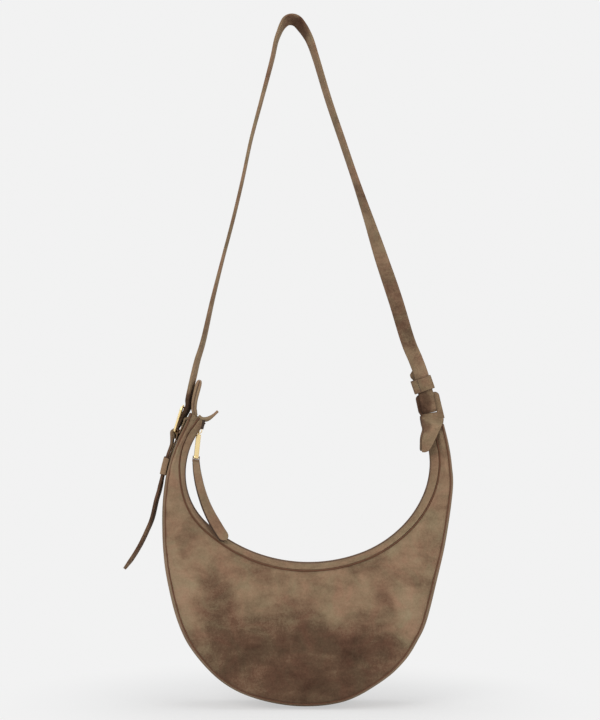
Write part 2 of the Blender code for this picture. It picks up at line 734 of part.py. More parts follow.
def ribbon(name, line, wide, half, thickness, shift, finish):
    """A flat strip along a line: width vectors, half widths, its thickness and its layer's shift."""
    heading = tangents(np.array(line))
    bm = bmesh.new()
    rings = []
    for point, way, across, reach in zip(line, heading, wide, half):
        way = Vector(way)
        across = Vector(across)
        across = (across - way * across.dot(way)).normalized()
        up = way.cross(across)
        middle = Vector(point) + up * shift
        rise = up * (thickness / 2)
        corners = (middle - across * reach - rise, middle + across * reach - rise,
                   middle + across * reach + rise, middle - across * reach + rise)
        rings.append([bm.verts.new(corner) for corner in corners])
    for (a, b, c, d), (e, f, g, h) in zip(rings, rings[1:]):
        for corners in ((a, b, f), (a, f, e), (d, g, c), (d, h, g), (b, c, g, f), (d, a, e, h)):
            bm.faces.new(corners)
    bm.faces.new(rings[0])
    bm.faces.new(rings[-1])
    return new_object(name, bm, finish)


def strap_total():
    return 2 * STRAP_LAYER + GAP


def strap_drop():
    """How far the slit in the right tab is below the crown."""
    return STRAP_DROP_SHARE * TIP_DROP


def strap_point(share_x, share_z):
    """A point of the strap's middle line: shares of its spread, which follows the bag's width, and drop."""
    return np.array([share_x * STRAP_SPREAD_SHARE * BAG_WIDTH, -share_z * strap_drop()])


def slit_frame():
    """The right tab's own frame: the slit's top edge, the way up, and the way across."""
    up = np.array([-math.sin(TAB_LEAN), math.cos(TAB_LEAN)])
    across = np.array([up[1], -up[0]])
    return strap_point(0.5756, 1.0) + up * strap_total() / 2, up, across


def hinge_points():
    """The swing's axis: the strap above the buckle on the left, the tab's waist on the right."""
    left = strap_point(*STRAP_SHARES[-1][:2])
    slit, up, _ = slit_frame()
    return flat(left), flat(slit - up * (TAB_PLATE_FALL + strap_total() / 2))


def bend_radius():
    """The radius of the strap's middle line where it turns round the tab's foot."""
    return TAB_PLATE_LAYER + GAP / 2 + GAP + strap_total() / 2


def leg_depth(rise):
    """How far before or behind the tab the strap lies, at a rise above the slit."""
    bend = bend_radius()
    close = strap_total() / 2 + GAP
    low = TAB_PLATE_RISE + 2 * GAP
    high = KEEPER_RISE + KEEPER_HEIGHT
    share = min(1.0, max(0.0, (rise - low) / (high - low)))
    return bend + (close - bend) * share


def strap_line(count=84):
    """The strap's middle line with its width vectors, from the folded end to the buckle."""
    slit, up, across = slit_frame()
    bend = bend_radius()
    points = []
    for share in np.linspace(1.0, 0.08, 12):
        place = slit + up * (FOLD_LENGTH * share) - across * (FOLD_SHIFT * share**FOLD_BEND)
        points.append([place[0], leg_depth(FOLD_LENGTH * share), place[1]])
    for turn in np.linspace(0.0, math.pi, 9):
        place = slit - up * (bend * math.sin(turn))
        points.append([place[0], bend * math.cos(turn), place[1]])
    wide = [Vector((across[0], 0.0, across[1]))] * len(points)
    leg = []
    for share_x, share_z, twist in STRAP_SHARES:
        x, z = strap_point(share_x, share_z)
        rise = (z - slit[1]) if share_x > 0 else strap_drop()
        depth = leg_depth(rise) * min(1.0, max(0.0, (2.6 * FOLD_LENGTH - rise) / FOLD_LENGTH))
        leg.append([x, -depth, z, twist])
    leg = smooth_through(leg, count)
    for (x, y, z, twist), way in zip(leg, tangents(leg[:, :3])):
        out = Vector((way[2], 0.0, -way[0])).normalized()
        turn = math.radians(twist)
        points.append([x, y, z])
        wide.append(out * math.cos(turn) - Vector((0.0, math.sin(turn), 0.0)))
    return np.array(points), wide


def build_strap():
    """Two layers of strap leather, cut back at the buckle so that the bag can swing."""
    line, wide = strap_line()
    half = [STRAP_WIDTH / 2] * len(line)
    half[0] = STRAP_WIDTH / 3
    shift = (STRAP_LAYER + GAP) / 2
    for name, side in (("strap_face", -1), ("strap_lining", 1)):
        layer = ribbon(name, line, wide, half, STRAP_LAYER, side * shift, suede())
        cut(layer, swing_relief(f"{name}_relief"))


def swing_axes():
    """Unit vectors of the swing: along its axis, and up across it."""
    left, right = hinge_points()
    axis = (right - left).normalized()
    return left, axis, Vector((0.0, 1.0, 0.0)), axis.cross(Vector((0.0, 1.0, 0.0))).normalized()


def swing_relief(name):
    """What the strap's end is cut back to: a round seat for the tail, open as far as the bag swings."""
    left, axis, depth, up = swing_axes()
    seat = STRAP_WIDTH / 2 + GAP
    reach = 2 * STRAP_WIDTH
    edge = SWING_LIMIT + SWING_SPARE
    outline = [(reach, -reach), (reach * math.cos(edge), reach * math.sin(edge))]
    for turn in np.linspace(edge, math.pi - edge, 9):
        outline.append((seat * math.cos(turn), seat * math.sin(turn)))
    outline += [(-reach * math.cos(edge), reach * math.sin(edge)), (-reach, -reach)]
    wide = 2 * STRAP_WIDTH / 3
    points = [left - axis * wide + depth * y + up * z for y, z in outline]
    return extruded(name, points, axis * (2 * wide), suede())


# Buckle, tail and chape on the left

def horn_side(fall, lift):
    """A point beside the left horn: how far below the swing's axis, and how far off the gusset's crown."""
    crown = outline_line(40 * RIM_STEPS)
    left, _ = hinge_points()
    heading = tangents(crown)
    half = len(crown) // 2
    k = int(np.argmin(np.abs(crown[:half, 1] - (left.z - fall))))
    out = np.array([heading[k, 1], -heading[k, 0]])
    return crown[k] + out * lift


def layer_lifts():
    """Middle distances off the gusset's crown of the chape, its outer fold, and the tail over each."""
    chape = LEATHER / 2 + GAP + CHAPE / 2
    bar = chape + CHAPE / 2 + GAP + BUCKLE_WIRE
    fold = bar + BUCKLE_WIRE + GAP + CHAPE / 2
    tail = chape + CHAPE / 2 + GAP + strap_total() / 2
    over = fold + CHAPE / 2 + GAP + strap_total() / 2
    return chape, bar, fold, tail, over


def closed_fold():
    """Middle distance off the gusset's crown of the chape's fold where it lies on the chape."""
    return layer_lifts()[0] + CHAPE + 2 * GAP


def buckle_frame_places():
    """Middles of the buckle's two bars: the lower in the chape, the upper over the strap."""
    _, bar, _, _, _ = layer_lifts()
    left, _ = hinge_points()
    low = horn_side((BUCKLE_DROP + BUCKLE_LENGTH / 3), bar)
    up = np.array([math.sin(BUCKLE_LEAN), math.cos(BUCKLE_LEAN)])
    return low, low + up * BUCKLE_LENGTH, up


def tail_line(count=44):
    """The tail from the swing's axis, under the buckle's top bar, over its low bar, and hanging free."""
    chape, bar, fold, tail, over = layer_lifts()
    left, _ = hinge_points()
    low, high, up = buckle_frame_places()
    inward = np.array([up[1], -up[0]])
    pass_by = BUCKLE_WIRE + GAP + strap_total() / 2
    low_fall = left.z - low[1]
    settle = low_fall + CHAPE_FOLD + 0.4 * STRAP_WIDTH
    points = [(left.x, left.z), tuple(high + inward * pass_by)]
    stand = BUCKLE_WIRE + CHAPE + strap_total() / 2 + 4 * GAP
    for lift in (60.0, 35.0, 10.0):
        ray = up * math.sin(math.radians(lift)) - inward * math.cos(math.radians(lift))
        points.append(tuple(low + ray * stand))
    points.append(tuple(horn_side(low_fall + CHAPE_FOLD * 0.4, over + 2 * GAP)))
    points.append(tuple(horn_side(low_fall + CHAPE_FOLD, closed_fold() + over - fold + 2 * GAP)))
    for fall in np.linspace(settle, low_fall + CHAPE_LENGTH + GAP, 5):
        points.append(tuple(horn_side(fall, tail + GAP)))
    end = points[-1]
    for across, fall in TAIL_SHARES:
        points.append((end[0] + across * TAIL_LENGTH, end[1] + fall * TAIL_LENGTH))
    line = smooth_through([(x, 0.0, z) for x, z in points], count)
    return line


def build_tail():
    """The strap's end past the swing's axis, in two layers with a round seat at the top."""
    line = tail_line()
    left, axis, depth, up = swing_axes()
    along = np.concatenate([[0.0], np.cumsum(np.linalg.norm(np.diff(line, axis=0), axis=1))])
    rise = STRAP_WIDTH / 2
    way = Vector(line[0] - line[1]).normalized()
    top = [Vector(line[0]) + way * (rise * math.sin(math.radians(turn))) for turn in (84, 66, 48, 32, 16)]
    top_half = [rise * math.cos(math.radians(turn)) for turn in (84, 66, 48, 32, 16)]
    half = []
    for place in along:
        from_tip = along[-1] - place
        taper = min(1.0, 0.35 + from_tip / STRAP_WIDTH)
        half.append(rise * taper)
    points = [tuple(point) for point in top] + [tuple(point) for point in line]
    wide = [Vector((0.0, -1.0, 0.0))] * len(points)
    shift = (STRAP_LAYER + GAP) / 2
    for name, side in (("tail_face", 1), ("tail_lining", -1)):
        layer = ribbon(name, points, wide, top_half + half, STRAP_LAYER, side * shift, suede())
        cut(layer, prong_slot(f"{name}_slot"))


def prong_places():
    """The prong's line outside the buckle, from its loop on the low bar to past the top bar."""
    low, high, up = buckle_frame_places()
    outward = np.array([-up[1], up[0]])
    stand = BUCKLE_WIRE + GAP + PRONG_WIRE
    return low, high, up, outward, stand


def prong_slot(name):
    """The hole in the tail that the prong stands in, long enough to swing it out."""
    low, high, up, outward, stand = prong_places()
    side = PRONG_WIRE + GAP
    deep = 2 * STRAP_WIDTH
    start = flat(low + outward * (stand - side) - up * (stand + side) * 0.2, -side)
    way = flat(up) * (BUCKLE_LENGTH * 0.86)
    out = flat(outward) * deep
    return extruded(name, [start, start + way, start + way + out, start + out],
                    Vector((0.0, 2 * side, 0.0)), suede())


def build_prong():
    """A wire prong: an open loop round the low bar, then straight out over the top bar."""
    low, high, up, outward, stand = prong_places()
    points = []
    for turn in np.linspace(math.radians(165.0), 0.0, 9):
        ray = outward * math.cos(turn) - up * math.sin(turn)
        points.append(flat(low + ray * stand))
    for share in (0.3, 0.6, 0.9):
        points.append(flat(low + outward * stand + up * (BUCKLE_LENGTH * share)))
    points.append(flat(high + outward * stand + up * BUCKLE_WIRE * 2))
    return rod("buckle_prong", points, PRONG_WIRE, gold(), 8)


def build_buckle():
    """A rectangular wire frame with round corners, wide enough for the strap."""
    low, high, up = buckle_frame_places()
    half = STRAP_WIDTH / 2 + BUCKLE_SIDE + BUCKLE_WIRE
    corner = BUCKLE_WIRE * 2.2
    points = []
    for cy, cz, start in ((1, 1, 0.0), (-1, 1, 90.0), (-1, -1, 180.0), (1, -1, 270.0)):
        for turn in (0.0, 30.0, 60.0, 90.0):
            angle = math.radians(start + turn)
            y = cy * (half - corner) + corner * math.cos(angle)
            middle = low if cz < 0 else high
            place = middle + up * (-cz * corner + corner * math.sin(angle))
            points.append(flat(place, y))
    rod("buckle_frame", points, BUCKLE_WIRE, gold(), 8, closed=True)


def build_chape():
    """The leather that holds the buckle: up the horn's side, over the low bar and down again."""
    chape, bar, fold, _, _ = layer_lifts()
    left, _ = hinge_points()
    low, high, up = buckle_frame_places()
    low_fall = left.z - low[1]
    outward = np.array([-up[1], up[0]])
    ring = BUCKLE_WIRE + GAP + CHAPE / 2
    points = [tuple(horn_side(fall, chape)) for fall in np.linspace(low_fall + CHAPE_LENGTH, low_fall + CHAPE_FOLD / 2, 8)]
    for turn in np.linspace(20.0, 165.0, 8):
        ray = outward * -math.cos(math.radians(turn)) + up * math.sin(math.radians(turn))
        points.append(tuple(low + ray * ring))
    for fall in (0.3, 0.65, 1.0):
        lift = fold + (closed_fold() - fold) * (fall - 0.3) / (1.0 - 0.3)
        points.append(tuple(horn_side(low_fall + CHAPE_FOLD * fall, lift)))
    line = smooth_through([(x, 0.0, z) for x, z in points], 44)
    wide = [Vector((0.0, -1.0, 0.0))] * len(line)
    strip = ribbon("buckle_chape", line, wide, [CHAPE_WIDTH / 2] * len(line), CHAPE, 0.0, suede())
    room = PRONG_WIRE + 2 * GAP
    start = flat(low - up * (2.2 * ring) - outward * (1.9 * ring), -room)
    high_way = flat(up) * (4.6 * ring)
    out = flat(outward) * (4 * ring)
    notch = extruded("chape_notch", [start, start + high_way, start + high_way + out, start + out],
                     Vector((0.0, 2 * room, 0.0)), suede())
    cut(strip, notch)


def build_tail_keeper():
    """A loop of leather over the tail, its ends down on the gusset."""
    chape, bar, fold, tail, _ = layer_lifts()
    left, _ = hinge_points()
    low, _, _ = buckle_frame_places()
    middle = left.z - low[1] + TAIL_KEEPER_DROP
    inner = tail + strap_total() / 2 + 2 * GAP
    wide = STRAP_WIDTH / 2 + 2 * GAP + KEEPER
    rings = []
    for fall in np.linspace(-TAIL_KEEPER_HEIGHT / 2, TAIL_KEEPER_HEIGHT / 2, 5):
        foot = horn_side(middle + fall, LEATHER / 2 + GAP)
        roof = horn_side(middle + fall, inner)
        top = horn_side(middle + fall, inner + KEEPER)
        rings.append([flat(foot, -wide), flat(top, -wide), flat(top, wide), flat(foot, wide),
                      flat(foot, wide - KEEPER), flat(roof, wide - KEEPER), flat(roof, KEEPER - wide),
                      flat(foot, KEEPER - wide)])
    ringed("tail_keeper", rings, suede_pale())


# Right end

def tab_outline():
    """The right tab's outline in its own frame: across and up from the slit's middle."""
    points = [(TAB_PLATE_LEFT * -1.07, TAB_PLATE_FALL * -1.45)]
    points.append((-TAB_PLATE_LEFT, 0.0))
    for cx, start in ((-TAB_PLATE_LEFT + TAB_CORNER, 180.0), (TAB_PLATE_RIGHT - TAB_CORNER, 90.0)):
        for turn in (0.0, 30.0, 60.0, 90.0):
            angle = math.radians(start - turn)
            points.append((cx + TAB_CORNER * math.cos(angle),
                           TAB_PLATE_RISE - TAB_CORNER + TAB_CORNER * math.sin(angle)))
    points.append((TAB_PLATE_RIGHT, TAB_PLATE_FALL * -1.45))
    return points


def build_right_tab():
    """Two layers of leather with a slit that the strap's end passes through."""
    slit, up, across = slit_frame()
    middle = slit - up * strap_total() / 2
    left, axis, depth, swing_up = swing_axes()
    floor = hinge_points()[1] + swing_up * (TAB_PLATE_LAYER + GAP / 2 + 2 * GAP)
    for name, side in (("right_tab_front", -1), ("right_tab_back", 1)):
        near = side * (GAP / 2)
        outline = [flat(middle + across * a + up * b, near) for a, b in tab_outline()]
        plate = extruded(name, outline, Vector((0.0, side * TAB_PLATE_LAYER, 0.0)), suede())
        bend = TAB_PLATE_LAYER + 2 * GAP + strap_total()
        half = STRAP_WIDTH / 2 + SLIT_CLEARANCE
        opening = block(f"{name}_slit", flat(slit - up * (bend + GAP) / 2), (flat(across), flat(up), depth),
                        (2 * half, bend + GAP, STRAP_WIDTH), suede())
        cut(plate, opening)
        trim = block(f"{name}_foot", floor - swing_up * STRAP_WIDTH, (axis, depth, swing_up),
                     (4 * STRAP_WIDTH, STRAP_WIDTH, 2 * STRAP_WIDTH), suede())
        cut(plate, trim)


def build_right_keeper():
    """The loop that holds the strap's folded end."""
    slit, up, across = slit_frame()
    line, wide = strap_line()
    centre = slit + up * KEEPER_RISE - across * (FOLD_SHIFT * KEEPER_OFFSET_SHARE)
    tilt = KEEPER_TILT
    long_way = flat(across * math.cos(tilt) + up * math.sin(tilt))
    high_way = flat(up * math.cos(tilt) - across * math.sin(tilt))
    half_wide = STRAP_WIDTH / 2 + FOLD_SHIFT * KEEPER_OFFSET_SHARE + 4 * GAP
    half_deep = bend_radius() + strap_total() / 2 + 2 * GAP
    rings = []
    for rise in (-0.5, 0.5):
        middle = flat(centre) + high_way * (KEEPER_HEIGHT * rise)
        rings.append((middle, rise))
    inner = [(-half_wide, -half_deep), (half_wide, -half_deep), (half_wide, half_deep), (-half_wide, half_deep)]
    outer = [(a + math.copysign(KEEPER, a), b + math.copysign(KEEPER, b)) for a, b in inner]
    loops = []
    for outline, rise in ((outer, 0), (outer, 1), (inner, 1), (inner, 0)):
        middle = rings[rise][0]
        loops.append([middle + long_way * a + Vector((0.0, b, 0.0)) for a, b in outline])
    ringed("right_keeper", loops, suede_pale(), closed=True)


def build_tab_root():
    """The tab's tongue inside the right horn, with a round nose on the swing's axis."""
    left, axis, depth, up = swing_axes()
    right = hinge_points()[1]
    radius = TAB_PLATE_LAYER + GAP / 2
    start = right - axis * (TAB_PLATE_LEFT * 0.88)
    push = axis * (TAB_PLATE_LEFT * 0.88 + TAB_PLATE_RIGHT * 0.9)
    outline = []
    for turn in np.linspace(0.0, math.pi, 7):
        outline.append(start + depth * (radius * math.cos(turn)) + up * (radius * math.sin(turn)))
    foot = up * -ROOT_NECK
    outline.append(start - depth * radius + foot)
    outline.append(start + depth * radius + foot)
    nose = extruded("right_tab_root", outline, push, suede())
    middle = right + axis * (TAB_PLATE_RIGHT * 0.28) - up * (0.6 * ROOT_NECK + ROOT_LENGTH / 2)
    tongue = block("root_tongue", middle, (axis, depth, up), (ROOT_WIDTH, 2 * radius, ROOT_LENGTH), suede())
    cut(nose, tongue, "UNION")


def build_flaps():
    """The tab's two lower leaves, which lie over the horn in front and behind."""
    left, axis, depth, up = swing_axes()
    right = hinge_points()[1]
    wide = TAB_PLATE_LEFT + TAB_PLATE_RIGHT
    near = TAB_PLATE_LAYER + 2 * GAP + FLAP / 2
    clear = (LEATHER + FLAP) / 2 + PANEL_CROWN / 4
    crown = outline_line(RIM_STEPS)
    around = np.linalg.norm(np.diff(crown, axis=0), axis=1).sum()
    for name, side in (("tab_flap_front", -1), ("tab_flap_back", 1)):
        rows = []
        for low, high, fall in FLAP_SHARES:
            settle = min(1.0, max(0.0, fall - FLAP_SHARES[0][2]) / FLAP_SHARES[1][2])
            grown = float(swell(fall * TAB_PLATE_RISE / around))
            far = HALF_DEPTH_TIP + (HALF_DEPTH_MIDDLE - HALF_DEPTH_TIP) * grown + clear
            out = near + (far - near) * math.sin(settle * math.pi / 2)
            row = []
            for share in np.linspace(low, high, 6):
                point = right + axis * (share * wide) - up * (fall * TAB_PLATE_RISE)
                row.append(point + depth * (side * out))
            rows.append(row)
        sheet(name, rows, FLAP, suede())


# Ears on the left

def build_ears():
    """A doubled ear that stands up from the horn's tip, and a thin leaf that curls over the zip's end."""
    tip = outline_line(40 * RIM_STEPS)[0]
    line = smooth_through([(tip[0] + x * EAR_HEIGHT, 0.0, tip[1] + z * EAR_HEIGHT) for x, z in EAR_SHARES], 14)
    add_ear("left_ear", line, EAR_WIDTH, EAR_LAYER, (EAR_LAYER + GAP) / 2)
    start = bag_point(*MOUTH_START_SHARES)
    line = smooth_through([(start[0] + x * LEAF_LENGTH, 0.0, start[1] + z * LEAF_LENGTH) for x, z in LEAF_SHARES], 12)
    half = [LEAF_WIDTH / 2 * math.sqrt(max(0.1, 1 - share**4)) for share in np.linspace(0, 0.99, len(line))]
    wide = [Vector((0.0, -1.0, 0.0))] * len(line)
    ribbon("left_leaf", line, wide, half, LEAF_LAYER, 0.0, suede_pale())


def add_ear(name, line, width, layer, shift):
    """Two layers of one ear with a rounded top."""
    half = [width / 2 * math.sqrt(max(0.1, 1 - share**6)) for share in np.linspace(0, 0.99, len(line))]
    wide = [Vector((0.0, -1.0, 0.0))] * len(line)
    ribbon(f"{name}_outer", line, wide, half, layer, shift, suede())
    ribbon(f"{name}_inner", line, wide, half, layer, -shift, suede())


# Moving pieces

def seat_origins():
    """Put the origin of every moving piece on its own joint's axis."""
    swing = hinge_points()[0]
    for name in BAG_PIECES:
        set_origin(bpy.data.objects[name], swing)
    set_origin(bpy.data.objects["zip_slider"], flat(mouth_centre()))
    pivot, _, _, foot = puller_frame()
    set_origin(bpy.data.objects["zip_puller"], pivot)
    for name in ("pull_knuckle", "pull_tab_front", "pull_tab_back"):
        set_origin(bpy.data.objects[name], foot)
    set_origin(bpy.data.objects["buckle_prong"], flat(buckle_frame_places()[0]))


def main():
    clear_scene()
    build_panels()
    build_gusset()
    build_mouth_bands()
    build_linings()
    build_pocket()
    build_zip()
    build_slider()
    build_puller()
    build_knuckle()
    build_pull_tab()
    build_strap()
    build_tail()
    build_buckle()
    build_prong()
    build_chape()
    build_tail_keeper()
    build_right_tab()
    build_right_keeper()
    build_tab_root()
    build_flaps()
    build_ears()
    seat_origins()


main()
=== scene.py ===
"""The looks of a crescent crossbody bag in suede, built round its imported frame.

Metres, +Z up, +X to the right seen from the front, the front face towards -Y. The origin is under the
crown of the strap, which the bag hangs from.
"""
from __future__ import annotations

import json
import logging
import math
from dataclasses import dataclass, field
from enum import Enum
from typing import Sequence

import bmesh
import bpy
import numpy as np
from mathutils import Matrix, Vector, noise

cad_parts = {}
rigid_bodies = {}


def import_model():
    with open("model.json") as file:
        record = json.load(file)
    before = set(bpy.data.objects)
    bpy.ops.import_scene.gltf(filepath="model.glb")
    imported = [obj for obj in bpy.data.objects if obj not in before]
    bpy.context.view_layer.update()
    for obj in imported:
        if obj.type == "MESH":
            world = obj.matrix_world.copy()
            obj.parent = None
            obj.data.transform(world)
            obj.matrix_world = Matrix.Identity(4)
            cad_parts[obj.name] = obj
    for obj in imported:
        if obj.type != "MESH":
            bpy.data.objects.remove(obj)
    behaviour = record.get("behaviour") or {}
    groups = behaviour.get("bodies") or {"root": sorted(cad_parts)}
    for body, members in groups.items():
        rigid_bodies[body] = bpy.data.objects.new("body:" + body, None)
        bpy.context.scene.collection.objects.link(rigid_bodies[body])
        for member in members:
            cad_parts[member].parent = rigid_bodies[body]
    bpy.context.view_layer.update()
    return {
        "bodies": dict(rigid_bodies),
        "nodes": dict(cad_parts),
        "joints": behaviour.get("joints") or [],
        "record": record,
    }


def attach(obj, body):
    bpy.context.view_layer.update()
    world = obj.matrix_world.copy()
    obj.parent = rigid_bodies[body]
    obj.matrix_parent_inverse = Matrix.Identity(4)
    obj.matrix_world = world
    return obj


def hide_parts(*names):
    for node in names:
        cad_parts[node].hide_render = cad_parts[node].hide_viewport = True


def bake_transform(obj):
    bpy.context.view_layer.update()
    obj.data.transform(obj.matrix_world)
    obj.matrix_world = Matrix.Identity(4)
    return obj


log = logging.getLogger("crossbody_bag")
Row = Sequence[float]
Piece = bpy.types.Object
Socket = bpy.types.NodeSocket
Pieces = list[tuple[Piece, str]]
FRONT_AND_BACK = (("front", -1), ("back", 1))

# Counts of points, then metres; EDGE_FILL is in gaps between two layers
CURVE_STEPS = 24
CROWN_POINTS = 1600
LEATHER_CROWN = 0.0001
CLOTH_EDGE = 0.0001
SMALL_EDGE = 0.0003
EDGE_INSET = 0.00012
MERGE_REACH = 0.00001
EDGE_FILL = 2.4


def tuned(thing: object, **settings: object) -> object:
    """Set a thing's properties by name and return it."""
    for key, value in settings.items():
        setattr(thing, key, value)
    return thing


class NodeBoard:
    """Adds and wires nodes of one tree in single calls."""

    def __init__(self, tree: bpy.types.NodeTree) -> None:
        """Take the tree that the nodes go into."""
        self.tree = tree

    def wire(self, node: bpy.types.Node, inputs: dict) -> bpy.types.Node:
        """Link or set a node's inputs, by socket name or index, and return the node."""
        for key, value in inputs.items():
            if isinstance(value, Socket):
                self.tree.links.new(value, node.inputs[key])
            else:
                node.inputs[key].default_value = value
        return node

    def add(self, kind: str, inputs: dict | None = None, **settings: object) -> bpy.types.Node:
        """Add one node.

        Args:
            kind: the node's type name.
            inputs: socket name or index to a socket to link or a value to set.
            settings: the node's own properties.

        Returns:
            The new node.
        """
        return self.wire(tuned(self.tree.nodes.new(kind), **settings), inputs or {})

    def coordinates(self) -> Socket:
        """The object's own coordinates, in metres."""
        return self.add("ShaderNodeTexCoord").outputs["Object"]

    def math(self, operation: str, first: object, second: object = 0.0, third: object = 0.5,
             clamp: bool = False) -> Socket:
        """Combine two or three numbers and return the result's socket."""
        inputs = {0: first, 1: second, 2: third}
        return self.add("ShaderNodeMath", inputs, operation=operation, use_clamp=clamp).outputs[0]

    def stirred(self, tone: object, source: Socket, share: float, clamp: bool = False) -> Socket:
        """Add a share of a noise field, taken about its middle, to a tone."""
        spread = self.math("MULTIPLY", self.math("SUBTRACT", source, 0.5), share)
        return self.math("ADD", tone, spread, clamp=clamp)

    def vector(self, operation: str, inputs: dict, output: int = 0) -> Socket:
        """Combine vectors and return the result's socket."""
        return self.add("ShaderNodeVectorMath", inputs, operation=operation).outputs[output]

    def blend(self, share: object, first: object, second: object, mode: str = "MIX") -> Socket:
        """Mix two colours by a share and return the result's socket."""
        inputs = {0: share, 6: first, 7: second}
        return self.add("ShaderNodeMix", inputs, data_type="RGBA", blend_type=mode).outputs[2]

    def ramp(self, value: object, low: float, high: float, first: float, last: float,
             way: str = "LINEAR") -> Socket:
        """Take a value's range from low to high over to one from first to last."""
        inputs = {0: value, 1: low, 2: high, 3: first, 4: last}
        return self.add("ShaderNodeMapRange", inputs, interpolation_type=way).outputs[0]

    def noise(self, place: object, scale: float, detail: float = 3.0, rough: float = 0.55,
              warp: float = 0.0) -> Socket:
        """A noise field's value at a place, for features of about 1 / scale metres."""
        return self.add("ShaderNodeTexNoise", {"Vector": place, "Scale": scale, "Detail": detail,
                                               "Roughness": rough, "Distortion": warp}).outputs[0]

    def bump(self, height: object, depth: float, strength: float, below: object = None) -> Socket:
        """A bumped normal from a height field, with its depth in metres."""
        inputs = {"Height": height, "Distance": depth, "Strength": strength}
        if below is not None:
            inputs["Normal"] = below
        return self.add("ShaderNodeBump", inputs).outputs[0]


def scaled(colour: Row, factor: float) -> tuple:
    """A colour made lighter or darker by a factor."""
    return tuple(factor * c for c in colour[:3]) + (1.0,)


class Nap(Enum):
    """Which way a leather piece was brushed, which shifts how light it looks."""

    BRUSHED_UP = 0.10
    PLAIN = 0.0
    BRUSHED_DOWN = -0.16


@dataclass(frozen=True)
class Finish:
    """A surface finish; its material is made once for each name, which no CAD material may have."""

    name: str

    def material(self) -> bpy.types.Material:
        """Return the finish's material, made on first use."""
        known = bpy.data.materials.get(self.name)
        if known:
            return known
        made = bpy.data.materials.new(self.name)
        made.use_nodes = True
        board = NodeBoard(made.node_tree)
        board.wire(made.node_tree.nodes["Principled BSDF"], self.dress(board))
        return made

    def dress(self, board: NodeBoard) -> dict:
        """Return what goes into the shader's inputs."""
        raise NotImplementedError


@dataclass(frozen=True)
class Suede(Finish):
    """Brushed suede: mottled nap, soft clouds, fine fibres and a velvety edge."""

    light: Row = (0.335, 0.232, 0.152, 1.0)
    middle: Row = (0.240, 0.158, 0.100, 1.0)
    dark: Row = (0.120, 0.068, 0.043, 1.0)
    deep: Row = (0.058, 0.029, 0.018, 1.0)
    nap: Nap = Nap.PLAIN
    clouds: tuple = ()
    mottle: float = 1.0
    warm: Row = (1.07, 0.97, 0.94, 1.0)
    olive: Row = (0.93, 1.02, 0.95, 1.0)
    sheen: Row = (0.90, 0.72, 0.55, 1.0)
    base_tone: float = 0.60
    broad_share: float = 0.75

    def tone(self, board: NodeBoard, place: Socket) -> Socket:
        """The lightness from 0 to 1 before colour: broad mottling, streaks and the placed clouds."""
        broad = board.noise(place, 11.0, 3.0, 0.5, 0.6)
        patches = board.noise(place, 34.0, 4.0, 0.6, 0.9)
        streaks = board.add("ShaderNodeMapping", {"Vector": place, "Scale": (0.35, 0.35, 1.0),
                                                  "Rotation": (0.0, 0.35, 0.0)}).outputs[0]
        brushed = board.noise(streaks, 95.0, 3.0, 0.6, 0.3)
        share = self.broad_share * self.mottle
        total = board.math("MULTIPLY_ADD", broad, share, self.base_tone + self.nap.value - share / 2)
        total = board.stirred(total, patches, 0.55 * self.mottle)
        total = board.stirred(total, brushed, 0.34 * self.mottle)
        shaken = board.add("ShaderNodeTexNoise", {"Vector": place, "Scale": 22.0, "Detail": 3.0}).outputs[1]
        shaken = board.vector("SUBTRACT", {0: shaken, 1: (0.5, 0.5, 0.5)})
        warped = board.vector("ADD", {0: place, 1: board.vector("SCALE", {0: shaken, "Scale": 0.05})})
        # placed clouds: mottling, and painted shade and light on the strap, the tab and part of the front
        # panel
        for centre, reach, lean, depth in self.clouds:
            total = board.math("ADD", total, self.cloud(board, warped, centre, reach, lean, depth))
        return total

    @staticmethod
    def cloud(board: NodeBoard, place: Socket, centre: Row, reach: Row, lean: float, depth: float) -> Socket:
        """One soft ellipse of lighter or darker tone; on the strap, the tab and part of the front panel it is
        painted shade or light.

        Args:
            board: the material's nodes.
            place: warped object coordinates.
            centre: the middle, x and z.
            reach: half sizes, x and z.
            lean: its turn in degrees.
            depth: how much it adds to the tone.

        Returns:
            The amount to add.
        """
        moved = board.add("ShaderNodeMapping", {"Vector": place, "Location": (centre[0], 0.0, centre[1]),
                                                "Rotation": (0.0, math.radians(lean), 0.0),
                                                "Scale": (reach[0], 10.0, reach[1])},
                          vector_type="TEXTURE").outputs[0]
        ball = board.add("ShaderNodeTexGradient", {"Vector": moved}, gradient_type="SPHERICAL").outputs[1]
        return board.ramp(ball, 0.0, 0.65, 0.0, depth, "SMOOTHSTEP")

    def dress(self, board: NodeBoard) -> dict:
        """Colour by the tone, darker in the fibres, with a fine bump and sheen."""
        place = board.coordinates()
        tone = self.tone(board, place)
        fibres = board.noise(place, 1500.0, 3.0, 0.7)
        grain = board.noise(place, 420.0, 4.0, 0.65)
        tone = board.stirred(board.stirred(tone, grain, 0.34), fibres, 0.36, True)
        ramp = board.add("ShaderNodeValToRGB", {0: tone})
        stops = ramp.color_ramp.elements
        stops[0].position, stops[1].position = 0.06, 0.92
        stops[0].color, stops[1].color = self.deep, self.light
        for position, colour in ((0.34, self.dark), (0.62, self.middle)):
            stops.new(position).color = colour
        warm, olive = (board.blend(1.0, ramp.outputs[0], cast, "MULTIPLY")
                       for cast in (self.warm, self.olive))
        hue = board.ramp(board.noise(place, 38.0, 4.0, 0.6, 0.8), 0.35, 0.65, 0.0, 1.0)
        soft = board.bump(board.noise(place, 130.0, 3.0, 0.55), 0.0016, 0.30)
        return {"Base Color": self.edged(board, board.blend(hue, warm, olive)), "Roughness": 0.88,
                "Specular IOR Level": 0.10, "Sheen Weight": 0.08, "Sheen Roughness": 0.55,
                "Sheen Tint": self.sheen,
                "Normal": board.bump(fibres, 0.0004, 0.45, board.bump(grain, 0.0006, 0.35, soft))}

    def edged(self, board: NodeBoard, colour: Socket) -> Socket:
        """Leave the colour as it is; an edged suede darkens it."""
        return colour


